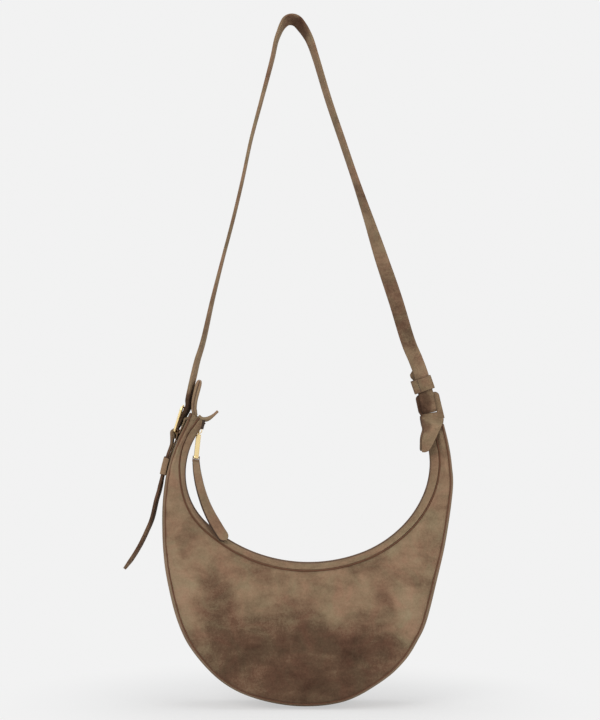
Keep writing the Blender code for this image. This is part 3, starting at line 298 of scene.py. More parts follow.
@dataclass(frozen=True)
class EdgedSuede(Suede):
    """Suede of a strip whose cut edges are painted; its UV map gives metres in from the edge as V."""

    paint: Row = (0.072, 0.040, 0.027, 1.0)
    painted: float = 0.00035

    def edged(self, board: NodeBoard, colour: Socket) -> Socket:
        """Mix in the edge paint where V falls under the painted depth."""
        where = board.add("ShaderNodeUVMap", uv_map="strip").outputs[0]
        inward = board.add("ShaderNodeSeparateXYZ", {0: where}).outputs[1]
        near = board.ramp(inward, 0.6 * self.painted, 1.5 * self.painted, 1.0, 0.0)
        return board.blend(near, colour, self.paint)


@dataclass(frozen=True)
class RimShadedSuede(Suede):
    """Suede of a band with painted shade on its turned edge and the channel's wall, up to a distance in front
    of and behind the middle.
    """

    shade: Row = (0.135, 0.084, 0.056, 1.0)
    rim: float = 0.0
    fade: float = 0.0010

    def edged(self, board: NodeBoard, colour: Socket) -> Socket:
        """Paint shade on the leather that turns in over the edge."""
        deep = board.math("ABSOLUTE", board.add("ShaderNodeSeparateXYZ", {0: board.coordinates()}).outputs[1])
        return board.blend(board.ramp(deep, self.rim, self.rim + self.fade, 1.0, 0.0), colour, self.shade)


@dataclass(frozen=True)
class EdgePaint(Finish):
    """The rust brown paint of cut leather edges and of the cord in the seams."""

    colour: Row = (0.092, 0.042, 0.023, 1.0)

    def dress(self, board: NodeBoard) -> dict:
        """A slightly uneven satin coat."""
        uneven = board.noise(board.coordinates(), 240.0, 3.0, 0.6)
        return {"Base Color": board.blend(uneven, self.colour, scaled(self.colour, 1.7)), "Roughness": 0.6,
                "Specular IOR Level": 0.15, "Normal": board.bump(uneven, 0.0003, 0.3)}


@dataclass(frozen=True)
class Gold(Finish):
    """Pale polished gold plate with faint rubbing marks."""

    colour: Row = (1.0, 0.78, 0.40, 1.0)

    def dress(self, board: NodeBoard) -> dict:
        """Metal with a roughness that varies a little."""
        place = board.coordinates()
        rubbed = board.noise(place, 500.0, 4.0, 0.7)
        return {"Base Color": board.blend(board.noise(place, 160.0), self.colour, scaled(self.colour, 0.88)),
                "Metallic": 1.0, "Roughness": board.ramp(rubbed, 0.0, 1.0, 0.16, 0.34),
                "Normal": board.bump(rubbed, 0.00008, 0.2)}


@dataclass(frozen=True)
class Cloth(Finish):
    """A woven cloth, for the lining and the zip's tapes; the UV map gives metres."""

    colour: Row = (0.105, 0.072, 0.055, 1.0)
    pitch: float = 0.0008
    gloss: float = 0.65

    def dress(self, board: NodeBoard) -> dict:
        """Warp over weft, with painted shade between the threads."""
        where = board.add("ShaderNodeUVMap", uv_map="strip").outputs[0]
        scale = 2.0 * math.pi / (20.0 * self.pitch)
        warp, weft = (board.add("ShaderNodeTexWave", {"Vector": where, "Scale": scale, "Distortion": 0.4},
                                bands_direction=way).outputs[1] for way in ("X", "Y"))
        woven = board.math("MULTIPLY", warp, weft)
        share = board.math("MULTIPLY_ADD", woven, 0.6, 0.35)
        # painted shade: the colour darkens in the gaps between the threads
        lit = board.blend(share, scaled(self.colour, 0.45), self.colour)
        slub = board.noise(board.coordinates(), 90.0, 4.0, 0.6)
        return {"Base Color": board.blend(slub, lit, scaled(self.colour, 1.25)), "Roughness": self.gloss,
                "Sheen Weight": 0.1, "Normal": board.bump(woven, 0.0003, 0.6)}


@dataclass(frozen=True)
class Coil(Finish):
    """Dark nylon of the zip's coil and stops, or waxed thread."""

    colour: Row = (0.055, 0.036, 0.028, 1.0)
    gloss: float = 0.4

    def dress(self, board: NodeBoard) -> dict:
        """A satin plastic with a faint speckle."""
        speckle = board.noise(board.coordinates(), 900.0, 3.0)
        return {"Base Color": board.blend(speckle, self.colour, scaled(self.colour, 1.5)),
                "Roughness": self.gloss, "Normal": board.bump(speckle, 0.0001, 0.3)}


# Curves

def ray(angle: float) -> np.ndarray:
    """The unit direction at an angle in radians, x and z."""
    return np.array([math.cos(angle), math.sin(angle)])


def unit(rows: np.ndarray) -> np.ndarray:
    """Every row at length 1."""
    return rows / np.linalg.norm(rows, axis=1)[:, None]


def sampled(table: np.ndarray, known: np.ndarray, wanted: np.ndarray) -> np.ndarray:
    """Read a table's columns off at wanted places, where its rows stand at known ones."""
    return np.column_stack([np.interp(wanted, known, column) for column in table.T])


def run_along(line: np.ndarray, places: int = 3) -> np.ndarray:
    """The length run along a line of points up to each of them, measured in its first columns."""
    return np.concatenate([[0.0], np.cumsum(np.linalg.norm(np.diff(line[:, :places], axis=0), axis=1))])


def run_over(grid: np.ndarray, axis: int) -> np.ndarray:
    """The length run over a grid of points up to each of them, down its columns (0) or along its rows (1)."""
    steps = np.linalg.norm(np.diff(grid, axis=axis), axis=2)
    return np.insert(np.cumsum(steps, axis=axis), 0, 0.0, axis=axis)


def even_steps(dense: np.ndarray, count: int, places: int = 3) -> np.ndarray:
    """Pick points at equal steps along a dense line.

    Args:
        dense: one point a row; its first columns are the place, and the rest ride along.
        count: how many points to return.
        places: how many columns measure the length.

    Returns:
        The points.
    """
    along = run_along(dense, places)
    return sampled(dense, along, np.linspace(0.0, along[-1], count))


def smooth_through(points: Sequence[Row], count: int, places: int = 3) -> np.ndarray:
    """A Catmull-Rom curve through points, at equal steps along its length."""
    points = np.array(points, float)
    ends = np.vstack([2 * points[0] - points[1], points, 2 * points[-1] - points[-2]])
    share = np.linspace(0.0, 1.0, CURVE_STEPS, endpoint=False)[:, None]
    dense = []
    for before, a, b, after in zip(ends, ends[1:], ends[2:], ends[3:]):
        dense.append(0.5 * (2 * a + (b - before) * share + (2 * before - 5 * a + 4 * b - after) * share**2
                            + (3 * a - before - 3 * b + after) * share**3))
    dense.append(points[-1:])
    return even_steps(np.vstack(dense), count, places)


def hung(pairs: Sequence[Row], count: int, start: Row = (0.0, 0.0), size: float = 1.0) -> np.ndarray:
    """A smooth curve in the middle plane through x and z, from a start in shares of a size."""
    return smooth_through([(start[0] + x * size, 0.0, start[1] + z * size) for x, z in pairs], count)


def tangents(points: np.ndarray) -> np.ndarray:
    """Unit directions along a line of points."""
    return unit(np.gradient(points, axis=0))


def beside(line: np.ndarray) -> np.ndarray:
    """The ways across a line without leaving the middle plane, a quarter turn from its directions."""
    way = tangents(line)
    return np.column_stack([-way[:, 2], np.zeros(len(line)), way[:, 0]])


def lifted(pairs: np.ndarray, depth: float | np.ndarray = 0.0) -> np.ndarray:
    """Points of the middle plane, x and z, as places in space at a depth."""
    return np.stack([pairs[..., 0], np.broadcast_to(depth, pairs.shape[:-1]), pairs[..., 1]], axis=-1)


def round_end(share: np.ndarray, power: int, least: float) -> np.ndarray:
    """How full a strip is, down to the root of the least at its rounded end, where the share reaches 1."""
    return np.sqrt(np.maximum(least, 1.0 - share**power))


def round_box(half_wide: float, half_high: float, corner: float, steps: int) -> list[tuple[float, float]]:
    """The closed outline of a box with rounded corners, with a number of points round each."""
    outline = []
    for sx, sy, start in ((1, 1, 0.0), (-1, 1, 90.0), (-1, -1, 180.0), (1, -1, 270.0)):
        for turn in np.radians(start + np.linspace(0.0, 90.0, steps)):
            outline.append((sx * (half_wide - corner) + corner * math.cos(turn),
                            sy * (half_high - corner) + corner * math.sin(turn)))
    return outline + outline[:1]


# Meshes

class CutEdges(Enum):
    """Which edges of a sheet are cut and painted: along its sides or across its ends."""

    NONE = "none"
    SIDES = "sides"
    ENDS = "ends"


def linked(name: str, data: object) -> Piece:
    """Put a mesh, a lamp or a camera in the scene and return its object."""
    made = bpy.data.objects.new(name, data)
    bpy.context.scene.collection.objects.link(made)
    return made


def smoothed(mesh: bpy.types.Mesh, angle: float) -> None:
    """Shade a mesh smooth up to an angle in degrees."""
    mesh.shade_smooth()
    mesh.set_sharp_from_angle(angle=math.radians(angle))


def place_object(name: str, mesh: bpy.types.Mesh, finish: Finish, angle: float = 45.0) -> Piece:
    """Put a mesh in the scene with its finish, shaded smooth up to an angle in degrees."""
    mesh.materials.clear()
    mesh.materials.append(finish.material())
    smoothed(mesh, angle)
    return linked(name, mesh)


def modified(piece: Piece, kind: str, **settings: object) -> Piece:
    """Add a modifier with its settings to a piece and return the piece."""
    tuned(piece.modifiers.new(kind.lower(), kind), **settings)
    return piece


def baked(piece: Piece) -> Piece:
    """Turn a piece's modifiers into plain mesh and return the piece."""
    seen = piece.evaluated_get(bpy.context.evaluated_depsgraph_get())
    mesh = bpy.data.meshes.new_from_object(seen)
    piece.modifiers.clear()
    piece.data = mesh
    return piece


def map_strip(mesh: bpy.types.Mesh, along: np.ndarray, inward: np.ndarray) -> None:
    """Give a mesh its UV map in metres from the run along and the way in at each of its vertices."""
    flat = np.stack(np.broadcast_arrays(along, inward), axis=-1).reshape(-1, 2)
    corners = np.empty(len(mesh.loops), np.int32)
    mesh.loops.foreach_get("vertex_index", corners)
    mesh.uv_layers.new(name="strip").data.foreach_set("uv", flat[corners].ravel().astype(np.float32))


def grid_mesh(name: str, grid: np.ndarray, cut: CutEdges = CutEdges.NONE) -> bpy.types.Mesh:
    """An open grid of points as a mesh, with a UV map in metres.

    Args:
        name: the mesh's name.
        grid: places as rows, columns, 3.
        cut: which edges V counts inwards from; without any it runs across the sheet.

    Returns:
        The mesh.
    """
    rows, columns = grid.shape[:2]
    index = np.arange(rows * columns).reshape(rows, columns)
    faces = np.stack([index[:-1, :-1], index[:-1, 1:], index[1:, 1:], index[1:, :-1]], axis=-1).reshape(-1, 4)
    mesh = bpy.data.meshes.new(name)
    mesh.from_pydata(grid.reshape(-1, 3).tolist(), [], faces.tolist())
    across, down = run_over(grid, 1), run_over(grid, 0)
    inward = {CutEdges.NONE: across, CutEdges.SIDES: np.minimum(across, across[:, -1:] - across),
              CutEdges.ENDS: np.minimum(down, down[-1:] - down)}[cut]
    map_strip(mesh, down, inward)
    return mesh


def hide_sheet(name: str, grid: np.ndarray, thickness: float, finish: Finish, outside: int = 1,
               round_edge: float = 0.00035, cut: CutEdges = CutEdges.NONE) -> Piece:
    """A sheet of leather or cloth with rounded cut edges, as one closed mesh.

    Args:
        name: the piece's name.
        grid: its middle surface.
        thickness: its full thickness.
        finish: its finish.
        outside: 1 where the grid's own normals point outwards, -1 to turn them.
        round_edge: the radius of its edges.
        cut: which of its edges are cut and painted.

    Returns:
        The piece.
    """
    piece = place_object(name, grid_mesh(name, grid[:, ::outside], cut), finish)
    return thickened(piece, thickness, round_edge)


def thickened(piece: Piece, thickness: float, round_edge: float) -> Piece:
    """Give a surface its thickness and rounded edges, and return it as plain mesh."""
    modified(piece, "SOLIDIFY", thickness=thickness, offset=0.0)
    modified(piece, "BEVEL", width=round_edge, segments=2, limit_method="ANGLE",
             angle_limit=math.radians(60.0))
    return baked(piece)


def ribbon(name: str, line: np.ndarray, wide: np.ndarray, half: np.ndarray, thickness: float | np.ndarray,
           shift: float | np.ndarray, finish: Finish, crown: float = 0.0) -> Piece:
    """A strip of leather along a line, with rounded edges and a UV map in metres from its nearer edge.

    Args:
        name: the piece's name.
        line: its middle line.
        wide: the way across at each point.
        half: half its width at each point.
        thickness: its layer's thickness, one for all or one for each point.
        shift: the layer's distance from the line, in the same way.
        finish: its finish.
        crown: how much its middle stands proud on both faces.

    Returns:
        The piece.
    """
    way = tangents(line)
    across = unit(wide - way * np.sum(wide * way, axis=1)[:, None])
    up = np.cross(way, across)
    middle = line + up * np.broadcast_to(shift, len(line))[:, None]
    edge = np.broadcast_to(np.asarray(thickness) / 2, len(line))[:, None]
    side = [(1.0, math.cos(t) - 1.0, math.sin(t), 0.0) for t in np.radians(np.linspace(-90.0, 90.0, 5))]
    top = [(share, 0.0, 1.0, crown * (1.0 - share**2)) for share in (0.66, 0.33, 0.0, -0.33, -0.66)]
    section = np.vstack([np.array(side + top), -np.array(side + top)])
    half = half[:, None]
    reach = section[None, :, 0] * half + section[None, :, 1] * edge
    rise = section[None, :, 2] * edge + section[None, :, 3]
    rings = middle[:, None] + across[:, None] * reach[:, :, None] + up[:, None] * rise[:, :, None]
    index = np.arange(reach.size).reshape(reach.shape)
    after = np.roll(index, -1, axis=1)
    faces = np.stack([index[:-1], after[:-1], after[1:], index[1:]], axis=-1).reshape(-1, 4).tolist()
    faces += [index[0][::-1].tolist(), index[-1].tolist()]
    mesh = bpy.data.meshes.new(name)
    mesh.from_pydata(rings.reshape(-1, 3).tolist(), [], faces)
    map_strip(mesh, run_along(line)[:, None], np.maximum(half - np.abs(reach), 0.0))
    turned = bmesh.new()
    turned.from_mesh(mesh)
    bmesh.ops.recalc_face_normals(turned, faces=turned.faces)
    turned.to_mesh(mesh)
    turned.free()
    return place_object(name, mesh, finish, 50.0)


def doubled(stem: str, line: np.ndarray, wide: np.ndarray, half: np.ndarray, layer: float, gap: float,
            finish: Finish, face: int) -> Pieces:
    """Two layers of strap with the edge that fills the gap between them.

    Args:
        stem: what the pieces' names start with.
        line: their middle line.
        wide: the way across at each point.
        half: half their width at each point.
        layer: one layer's thickness.
        gap: the space between the layers.
        finish: their finish.
        face: -1 or 1 for the side of the line that the outer layer lies on.

    Returns:
        The pieces with the nodes that they stand for.
    """
    shift = face * (layer + gap) / 2
    made = [(ribbon(f"{stem}_{name}", line, wide, half, layer, away, finish, LEATHER_CROWN), f"{stem}_{node}")
            for name, node, away in (("outer", "face", shift), ("inner", "lining", -shift))]
    edge = ribbon(f"{stem}_edge", line, wide, half - EDGE_INSET, EDGE_FILL * gap, 0.0, finish)
    return made + [(edge, "")]


class Growth(Enum):
    """What a geometry node tree grows along a path; the value is the tree's name."""

    CORD = "cord_on_path"
    STITCHES = "stitches_on_path"
    COIL = "coil_on_path"


class Trees:
    """Geometry node trees for what repeats or follows a path."""

    @staticmethod
    def start(kind: Growth, sizes: dict[str, float]) -> tuple[NodeBoard, bpy.types.Node, Socket]:
        """Make a tree with a path going in, a mesh coming out and named sizes.

        Args:
            kind: what the tree grows.
            sizes: each named input and its value.

        Returns:
            The board, the group's input node and the path as a curve.
        """
        tree = bpy.data.node_groups.new(kind.value, "GeometryNodeTree")
        add = tree.interface.new_socket
        add("Path", in_out="INPUT", socket_type="NodeSocketGeometry")
        for label, value in sizes.items():
            tuned(add(label, in_out="INPUT", socket_type="NodeSocketFloat"), default_value=value)
        add("Material", in_out="INPUT", socket_type="NodeSocketMaterial")
        add("Mesh", in_out="OUTPUT", socket_type="NodeSocketGeometry")
        board = NodeBoard(tree)
        source = board.add("NodeGroupInput")
        return board, source, board.add("GeometryNodeMeshToCurve", {0: source.outputs["Path"]}).outputs[0]

    @staticmethod
    def end(board: NodeBoard, shape: Socket, source: bpy.types.Node) -> bpy.types.NodeTree:
        """Realize the instances, set the material, send the mesh out and return the tree."""
        real = board.add("GeometryNodeRealizeInstances", {0: shape}).outputs[0]
        dressed = board.add("GeometryNodeSetMaterial", {"Geometry": real,
                                                        "Material": source.outputs["Material"]})
        board.add("NodeGroupOutput", {0: dressed.outputs[0]})
        return board.tree

    @staticmethod
    def cord() -> bpy.types.NodeTree:
        """A round cord along a path, closed at its ends."""
        board, source, path = Trees.start(Growth.CORD, {"Radius": 0.001})
        ring = board.add("GeometryNodeCurvePrimitiveCircle", {"Resolution": 10,
                                                              "Radius": source.outputs["Radius"]})
        tube = board.add("GeometryNodeCurveToMesh", {"Curve": path, "Profile Curve": ring.outputs[0],
                                                     "Fill Caps": True})
        return Trees.end(board, tube.outputs[0], source)

    @staticmethod
    def beads(kind: Growth) -> bpy.types.NodeTree:
        """Small shapes at a pitch along a path: round stitches, or the turns of a zip's coil."""
        sizes = {"Pitch": 0.002, "Long": 0.001, "Wide": 0.0005, "High": 0.0005}
        board, source, path = Trees.start(kind, sizes)
        steps = board.add("GeometryNodeResampleCurve", {"Curve": path, "Length": source.outputs["Pitch"]},
                          mode="LENGTH")
        pivot = "AUTO" if kind is Growth.STITCHES else "Y"
        if kind is Growth.STITCHES:
            bead = board.add("GeometryNodeMeshUVSphere", {"Segments": 8, "Rings": 5, "Radius": 0.5})
        else:
            bead = board.add("GeometryNodeMeshCylinder", {"Vertices": 8, "Radius": 0.5, "Depth": 1.0})
            bead = board.add("GeometryNodeTransform", {0: bead.outputs[0],
                                                       "Rotation": (math.pi / 2, 0.0, 0.0)})
        upright = board.add("FunctionNodeAlignRotationToVector", {"Vector": (0.0, 1.0, 0.0)}, axis="Y")
        turned = board.add("FunctionNodeAlignRotationToVector", {
            "Rotation": upright.outputs[0], "Vector": board.add("GeometryNodeInputTangent").outputs[0]},
            axis="X", pivot_axis=pivot)
        scale = board.add("ShaderNodeCombineXYZ",
                          {k: source.outputs[label] for k, label in enumerate(("Long", "Wide", "High"))})
        placed = board.add("GeometryNodeInstanceOnPoints", {
            "Points": steps.outputs[0], "Instance": bead.outputs[0], "Rotation": turned.outputs[0],
            "Scale": scale.outputs[0]})
        return Trees.end(board, placed.outputs[0], source)

    @staticmethod
    def grow(name: str, kind: Growth, lines: Sequence[np.ndarray], finish: Finish, **sizes: float) -> Piece:
        """Grow a tree's mesh along one or more lines and return it as a plain mesh.

        Args:
            name: the piece's name.
            kind: what grows.
            lines: each line's points.
            finish: the piece's finish.
            sizes: the tree's named inputs.

        Returns:
            The piece.
        """
        tree = bpy.data.node_groups.get(kind.value)
        if tree is None:
            tree = Trees.cord() if kind is Growth.CORD else Trees.beads(kind)
        points: list = []
        edges: list = []
        for line in lines:
            start = len(points)
            points += [tuple(map(float, point)) for point in line]
            edges += [(k, k + 1) for k in range(start, len(points) - 1)]
        mesh = bpy.data.meshes.new(name)
        mesh.from_pydata(points, edges, [])
        piece = linked(name, mesh)
        growth = piece.modifiers.new("growth", "NODES")
        growth.node_group = tree
        given = {"Material": finish.material(), **sizes}
        for item in tree.interface.items_tree:
            if item.in_out == "INPUT" and item.name in given:
                growth[item.identifier] = given[item.name]
        baked(piece).data.shade_smooth()
        return piece


@dataclass
class BagForm:
    """The crescent's sizes and the lines that every piece of it follows."""

    width: float = 0.302
    height: float = 0.3046
    tip_drop: float = 0.407
    shift_share: float = 0.0606
    half_depth: tuple = (0.0092, 0.0315)
    mouth_half: tuple = (0.0083, 0.0165)
    bulge: tuple = (0.0016, 0.0058)
    panel_crown: float = 0.0045
    crown_share: float = 0.06
    band: float = 0.0098
    band_limit: float = 0.45
    band_puff: float = 0.06
    band_shares: tuple = ((0.0, 0.80), (0.035, 0.78), (0.067, 0.72), (0.10, 0.63), (0.157, 0.42),
                          (0.25, 0.50), (0.45, 0.64), (0.7, 0.60), (0.85, 0.80), (1.0, 0.98))
    rim_dip: float = 0.0014
    dip_start: float = 0.08
    dip_reach: float = 0.14
    flat_foot: float = 0.0012
    mouth_start_angle: float = 135.5
    mouth_start: tuple = (-0.3549, 0.9669)
    mouth_arcs: tuple = ((0.2405, 92.8), (0.5218, 61.3), (0.3931, 44.4), (0.2584, 47.2))
    outline: tuple = (
        (-0.405, 1.002), (-0.4255, 0.957), (-0.450, 0.906), (-0.4685, 0.858), (-0.482, 0.810),
        (-0.4915, 0.758), (-0.498, 0.698), (-0.500, 0.6295), (-0.4965, 0.533), (-0.483, 0.4305),
        (-0.448, 0.293), (-0.396, 0.190), (-0.299, 0.0875), (-0.182, 0.029), (-0.026, 0.0017),
        (0.130, 0.019), (0.258, 0.0875), (0.334, 0.156), (0.379, 0.225), (0.410, 0.293),
        (0.445, 0.4305), (0.476, 0.568), (0.500, 0.739), (0.4965, 0.825), (0.486, 0.894),
        (0.469, 0.964),
    )
    leather: float = 0.0016
    lining: float = 0.0008
    gap: float = 0.0003
    channel_half: float = 0.0058
    channel_edge: float = 0.0013
    zip_depth: float = 0.0034
    zip_wall: float = 0.0018

    def point(self, width_share: float, height_share: float) -> np.ndarray:
        """A point of the middle plane, x and z, from shares of the width and height."""
        return np.array([(self.shift_share + width_share) * self.width,
                         -self.tip_drop - self.height + height_share * self.height])

    def mouth_centre(self) -> np.ndarray:
        """The centre of the rim's first arc."""
        first = ray(math.radians(self.mouth_start_angle)) * (self.mouth_arcs[0][0] * self.width)
        return self.point(*self.mouth_start) - first

    def rim(self, count: int, shift: float = 0.0) -> tuple[np.ndarray, np.ndarray]:
        """The rim as tangent arcs: its points and outward normals, x and z."""
        centre = self.mouth_centre()
        angle = math.radians(self.mouth_start_angle)
        radius = self.mouth_arcs[0][0] * self.width
        dense = []
        for share, sweep in self.mouth_arcs:
            centre = centre + ray(angle) * (radius - share * self.width)
            radius = share * self.width
            turn = np.linspace(angle, angle + math.radians(sweep), 60)
            rays = np.column_stack([np.cos(turn), np.sin(turn)])
            dense.append(np.column_stack([centre + rays * (radius + shift), rays]))
            angle += math.radians(sweep)
        even = even_steps(np.vstack(dense), count, 2)
        return even[:, :2], unit(even[:, 2:])

    def crown(self, count: int) -> np.ndarray:
        """The gusset's crown in the middle plane, x and z."""
        return smooth_through([self.point(*share) for share in self.outline], count)

    @staticmethod
    def swell(places: np.ndarray) -> np.ndarray:
        """From 0 at a horn's tip to 1 at the full middle."""
        return np.sin(np.pi * np.clip(places, 0.0, 1.0)) ** 0.8


class Section:
    """The bag's cross-sections at places along its mouth, from tip to tip."""

    known: int = 161
    dense: int = 1281

    def __init__(self, form: BagForm, count: int, start: float = 0.0, end: float = 1.0) -> None:
        """Work out every seam line once.

        Args:
            form: the bag's sizes.
            count: how many cross-sections.
            start: the first place, from 0 to 1.
            end: the last place.
        """
        self.form = form
        self.places = np.linspace(start, end, count)
        crown = form.crown(self.known)
        heading = tangents(crown)
        table = np.column_stack([*form.rim(self.known), crown, heading[:, 1], -heading[:, 0]])
        places = np.linspace(0.0, 1.0, self.known)
        table = np.column_stack([smooth_through(np.column_stack([places, column]), self.dense, 1)[:, 1]
                                 for column in table.T])
        table = sampled(table, np.linspace(0.0, 1.0, self.dense), self.places)
        rim, normal, self.crown, outward = (table[:, k:k + 2] for k in (0, 2, 4, 6))
        self.normal, self.outward = unit(normal), unit(outward)
        grown = form.swell(self.places)
        self.half_depth, self.mouth_half, self.bulge = (
            low + (high - low) * grown for low, high in (form.half_depth, form.mouth_half, form.bulge))
        reach = np.linalg.norm(self.crown - rim, axis=1)
        from_tip = np.minimum(self.places, 1.0 - self.places)
        dipped = np.clip((from_tip - form.dip_start) / form.dip_reach, 0.0, 1.0)
        self.rim = rim + self.normal * (form.rim_dip * dipped * dipped * (3.0 - 2.0 * dipped))[:, None]
        bands = smooth_through(form.band_shares, 400, 1)
        self.band = np.minimum(form.band * np.interp(self.places, *bands.T), form.band_limit * reach)
        self.mouth_seam = self.rim + self.normal * self.band[:, None]
        self.outer_seam = self.crown - self.outward * self.bulge[:, None]
        self.reach = np.linalg.norm(self.outer_seam - self.mouth_seam, axis=1)

    def panel(self, side: int, steps: int, inset: float, sunk: float = 0.0, top: float = 0.0,
              foot: float = 0.0) -> np.ndarray:
        """A main panel's middle surface from the mouth seam to the outer seam.

        Args:
            side: -1 in front, 1 behind.
            steps: how many points across.
            inset: how far its edges stop short of the seams.
            sunk: how far it lies towards the middle.
            top: more room at the mouth.
            foot: more room at the outer seam.

        Returns:
            The places, rows by steps by 3.
        """
        first = ((inset + top) / self.reach)[:, None]
        last = 1.0 - ((inset + foot) / self.reach)[:, None]
        share = first + (last - first) * (0.5 - 0.5 * np.cos(np.linspace(0.0, math.pi, steps)))
        flat = self.mouth_seam[:, None] + (self.outer_seam - self.mouth_seam)[:, None] * share[..., None]
        crown = np.minimum(self.form.panel_crown, self.form.crown_share * self.reach)[:, None]
        depth = self.mouth_half[:, None] + crown * np.sin(math.pi * share) - sunk
        depth = depth + (self.half_depth - self.mouth_half)[:, None] * np.sin(share * math.pi / 2)
        return lifted(flat, side * depth)

    def gusset(self, steps: int, inset: float, sunk: float = 0.0) -> np.ndarray:
        """The gusset's middle surface from its front seam round its crown to its back seam."""
        share = np.linspace(-1.0, 1.0, steps)
        reach = self.bulge[:, None] * (1.0 - share**2) - sunk
        flat = self.outer_seam[:, None] + self.outward[:, None] * reach[..., None]
        return lifted(flat, share * (self.half_depth - inset)[:, None])

    def mouth_band(self, side: int, inset: float) -> np.ndarray:
        """A mouth band up the zip channel's wall, over its turned edge and down to the seam."""
        form = self.form
        edge = form.channel_edge
        wall = [(inward, form.channel_half)
                for inward in np.linspace(form.zip_depth + form.zip_wall, edge, 5)[:-1]]
        fold = [(edge - edge * math.sin(t), form.channel_half + edge - edge * math.cos(t))
                for t in np.radians(np.linspace(0.0, 90.0, 7))]
        head = np.array(wall + fold)
        run = np.column_stack([self.band, self.mouth_half]) - head[-1]
        length = np.linalg.norm(run, axis=1)[:, None]
        share = np.linspace(0.0, 1.0, 9)[None, 1:] * (1.0 - inset / length)
        puff = form.band_puff * length * np.sin(math.pi * share)
        facing = np.column_stack([-run[:, 1], run[:, 0]]) / length
        slope = head[-1] + run[:, None] * share[..., None] + facing[:, None] * puff[..., None]
        profile = np.concatenate([np.broadcast_to(head, (len(self.places), *head.shape)), slope], axis=1)
        flat = self.rim[:, None] + self.normal[:, None] * profile[..., 0, None]
        return lifted(flat, side * profile[..., 1])


